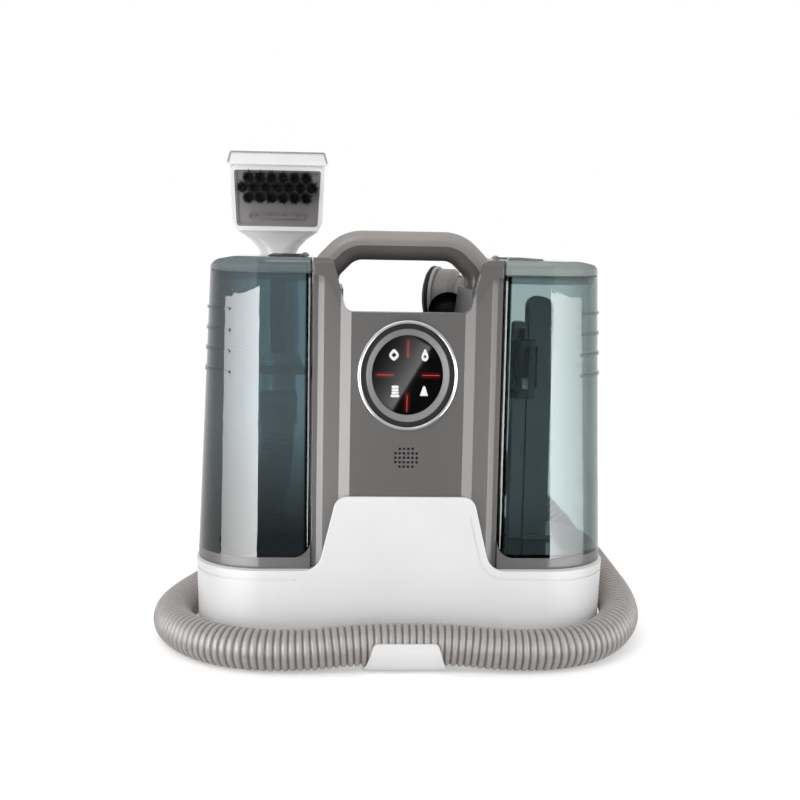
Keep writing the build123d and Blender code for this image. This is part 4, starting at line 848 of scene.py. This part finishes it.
def lip_finish():
    """White lip whose raised edge along its top and ends is coloured grey."""
    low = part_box("scraper_lip")[0]
    finish = moulded("lip_grey_edged", (0.88, 0.88, 0.88), 0.40)
    tree = finish.node_tree
    shader = tree.nodes["Principled BSDF"]
    white = shader.inputs["Base Color"].links[0].from_socket
    place = place_in(tree)
    in_front = maths(tree, "LESS_THAN", place["Y"], low[1] + LIP_EDGE_DEEP)
    above_foot = maths(tree, "GREATER_THAN", place["Z"], low[2] + LIP_EDGE_FOOT)
    on_edge = maths(tree, "MULTIPLY", in_front, above_foot)
    tree.links.new(mixed(tree, on_edge, white, LIP_EDGE_GREY), shader.inputs["Base Color"])
    return finish


painted(node["scraper_lip"], lip_finish())

# Low rim of the spray slot under the brush: a disc drawn apart, opened, and raised.
BRUSH_MIDDLE = -0.107
SLOT_HEIGHT = 0.3473
SLOT_END = 0.0026           # radius of its round ends
SLOT_DRAWN = 0.0225         # how far each end is drawn out
SLOT_RIM = 0.0008
RIM_SUNK, RIM_DEPTH = 0.0003, 0.0009
plate_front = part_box("nozzle_faceplate")[0][1]
flat_disc("spray_slot_rim", 24, SLOT_END, (BRUSH_MIDDLE, plate_front + RIM_SUNK, SLOT_HEIGHT))
for side in (-1, 1):
    picked(lambda at: side * (at.x - BRUSH_MIDDLE) > 1e-6)
    bpy.ops.transform.translate(value=(side * SLOT_DRAWN, 0, 0))
bpy.ops.mesh.select_all(action="SELECT")
bpy.ops.mesh.inset(thickness=SLOT_RIM)
bpy.ops.mesh.delete(type="FACE")
slot_rim = thickened(RIM_DEPTH, moulded("slot_rim_grey", (0.150, 0.138, 0.138), 0.5))
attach(slot_rim, "wand")

# One bristle, bowed to one side, makes a tuft that fans out, and the tuft is set 19 times.
BRISTLES = 56               # in a tuft
BRISTLE_ROOT, BRISTLE_TIP = 0.00044, 0.00024
BRISTLE_BOW = 0.0007
TUFT_RADIUS = 0.0037
TUFT_PITCH = 0.0101
TUFT_ROWS = [(0.3799, 6), (0.3716, 7), (0.3625, 6)]     # height and count
tuft_low, tuft_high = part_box("brush_tufts")
tuft_length = tuft_high[1] - tuft_low[1]
deselected()
bpy.ops.mesh.primitive_cone_add(vertices=6, radius1=BRISTLE_ROOT, radius2=BRISTLE_TIP,
                                depth=tuft_length, location=(0, 0, tuft_length / 2))
bristle = bpy.context.object
bpy.ops.object.transform_apply(location=True, rotation=True, scale=True)
bpy.ops.object.mode_set(mode="EDIT")
for share in (0.35, 0.68):
    bpy.ops.mesh.select_all(action="SELECT")
    bpy.ops.mesh.bisect(plane_co=(0, 0, tuft_length * share), plane_no=(0, 0, 1))
picked(lambda at: at.z > tuft_length * 0.9)
bpy.ops.transform.translate(value=(BRISTLE_BOW, 0, 0), use_proportional_edit=True,
                            proportional_edit_falloff="SMOOTH", proportional_size=tuft_length)
bpy.ops.object.mode_set(mode="OBJECT")


def copied(piece, place):
    """Copy of a piece, with its own mesh, moved to a place."""
    copy = piece.copy()
    copy.data = piece.data.copy()
    bpy.context.scene.collection.objects.link(copy)
    copy.data.transform(place)
    return copy


def joined(parts, name):
    """The parts as one piece with this name."""
    deselected()
    for part in parts:
        part.select_set(True)
    bpy.context.view_layer.objects.active = parts[0]
    bpy.ops.object.join()
    parts[0].name = name
    return parts[0]


bristles = []
for k in range(BRISTLES):
    out = math.sqrt((k + 0.5) / BRISTLES)
    lean = math.radians(6.0 + 4.0 * (k % 3)) * out
    place = (Matrix.Rotation(k * math.radians(137.5), 4, "Z") @
             Matrix.Translation((TUFT_RADIUS * out, 0, 0)) @ Matrix.Rotation(lean, 4, "Y"))
    worn = Matrix.Diagonal((1, 1, 0.985 - 0.05 * (k % 3), 1))
    bristles.append(copied(bristle, place @ worn))
bpy.data.objects.remove(bristle)
tuft = joined(bristles, "tuft")
tufts = []
for row, (height, count) in enumerate(TUFT_ROWS):
    for i in range(count):
        across = BRUSH_MIDDLE + (i - (count - 1) / 2) * TUFT_PITCH
        facing = (Matrix.Rotation(math.pi / 2, 4, "X") @
                  Matrix.Rotation(math.radians(50 * i + 23 * row), 4, "Z"))
        tufts.append(copied(tuft, Matrix.Translation((across, tuft_high[1], height)) @ facing))
bpy.data.objects.remove(tuft)
bristle_tufts = joined(tufts, "bristle_tufts")
painted(bristle_tufts, moulded("bristle_black", (0.010, 0.012, 0.010), 0.5))
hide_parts("brush_tufts")
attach(bristle_tufts, "wand")


# ---- Scene settings
# The picture is shown as rendered.
bpy.context.scene.view_settings.view_transform = "Standard"
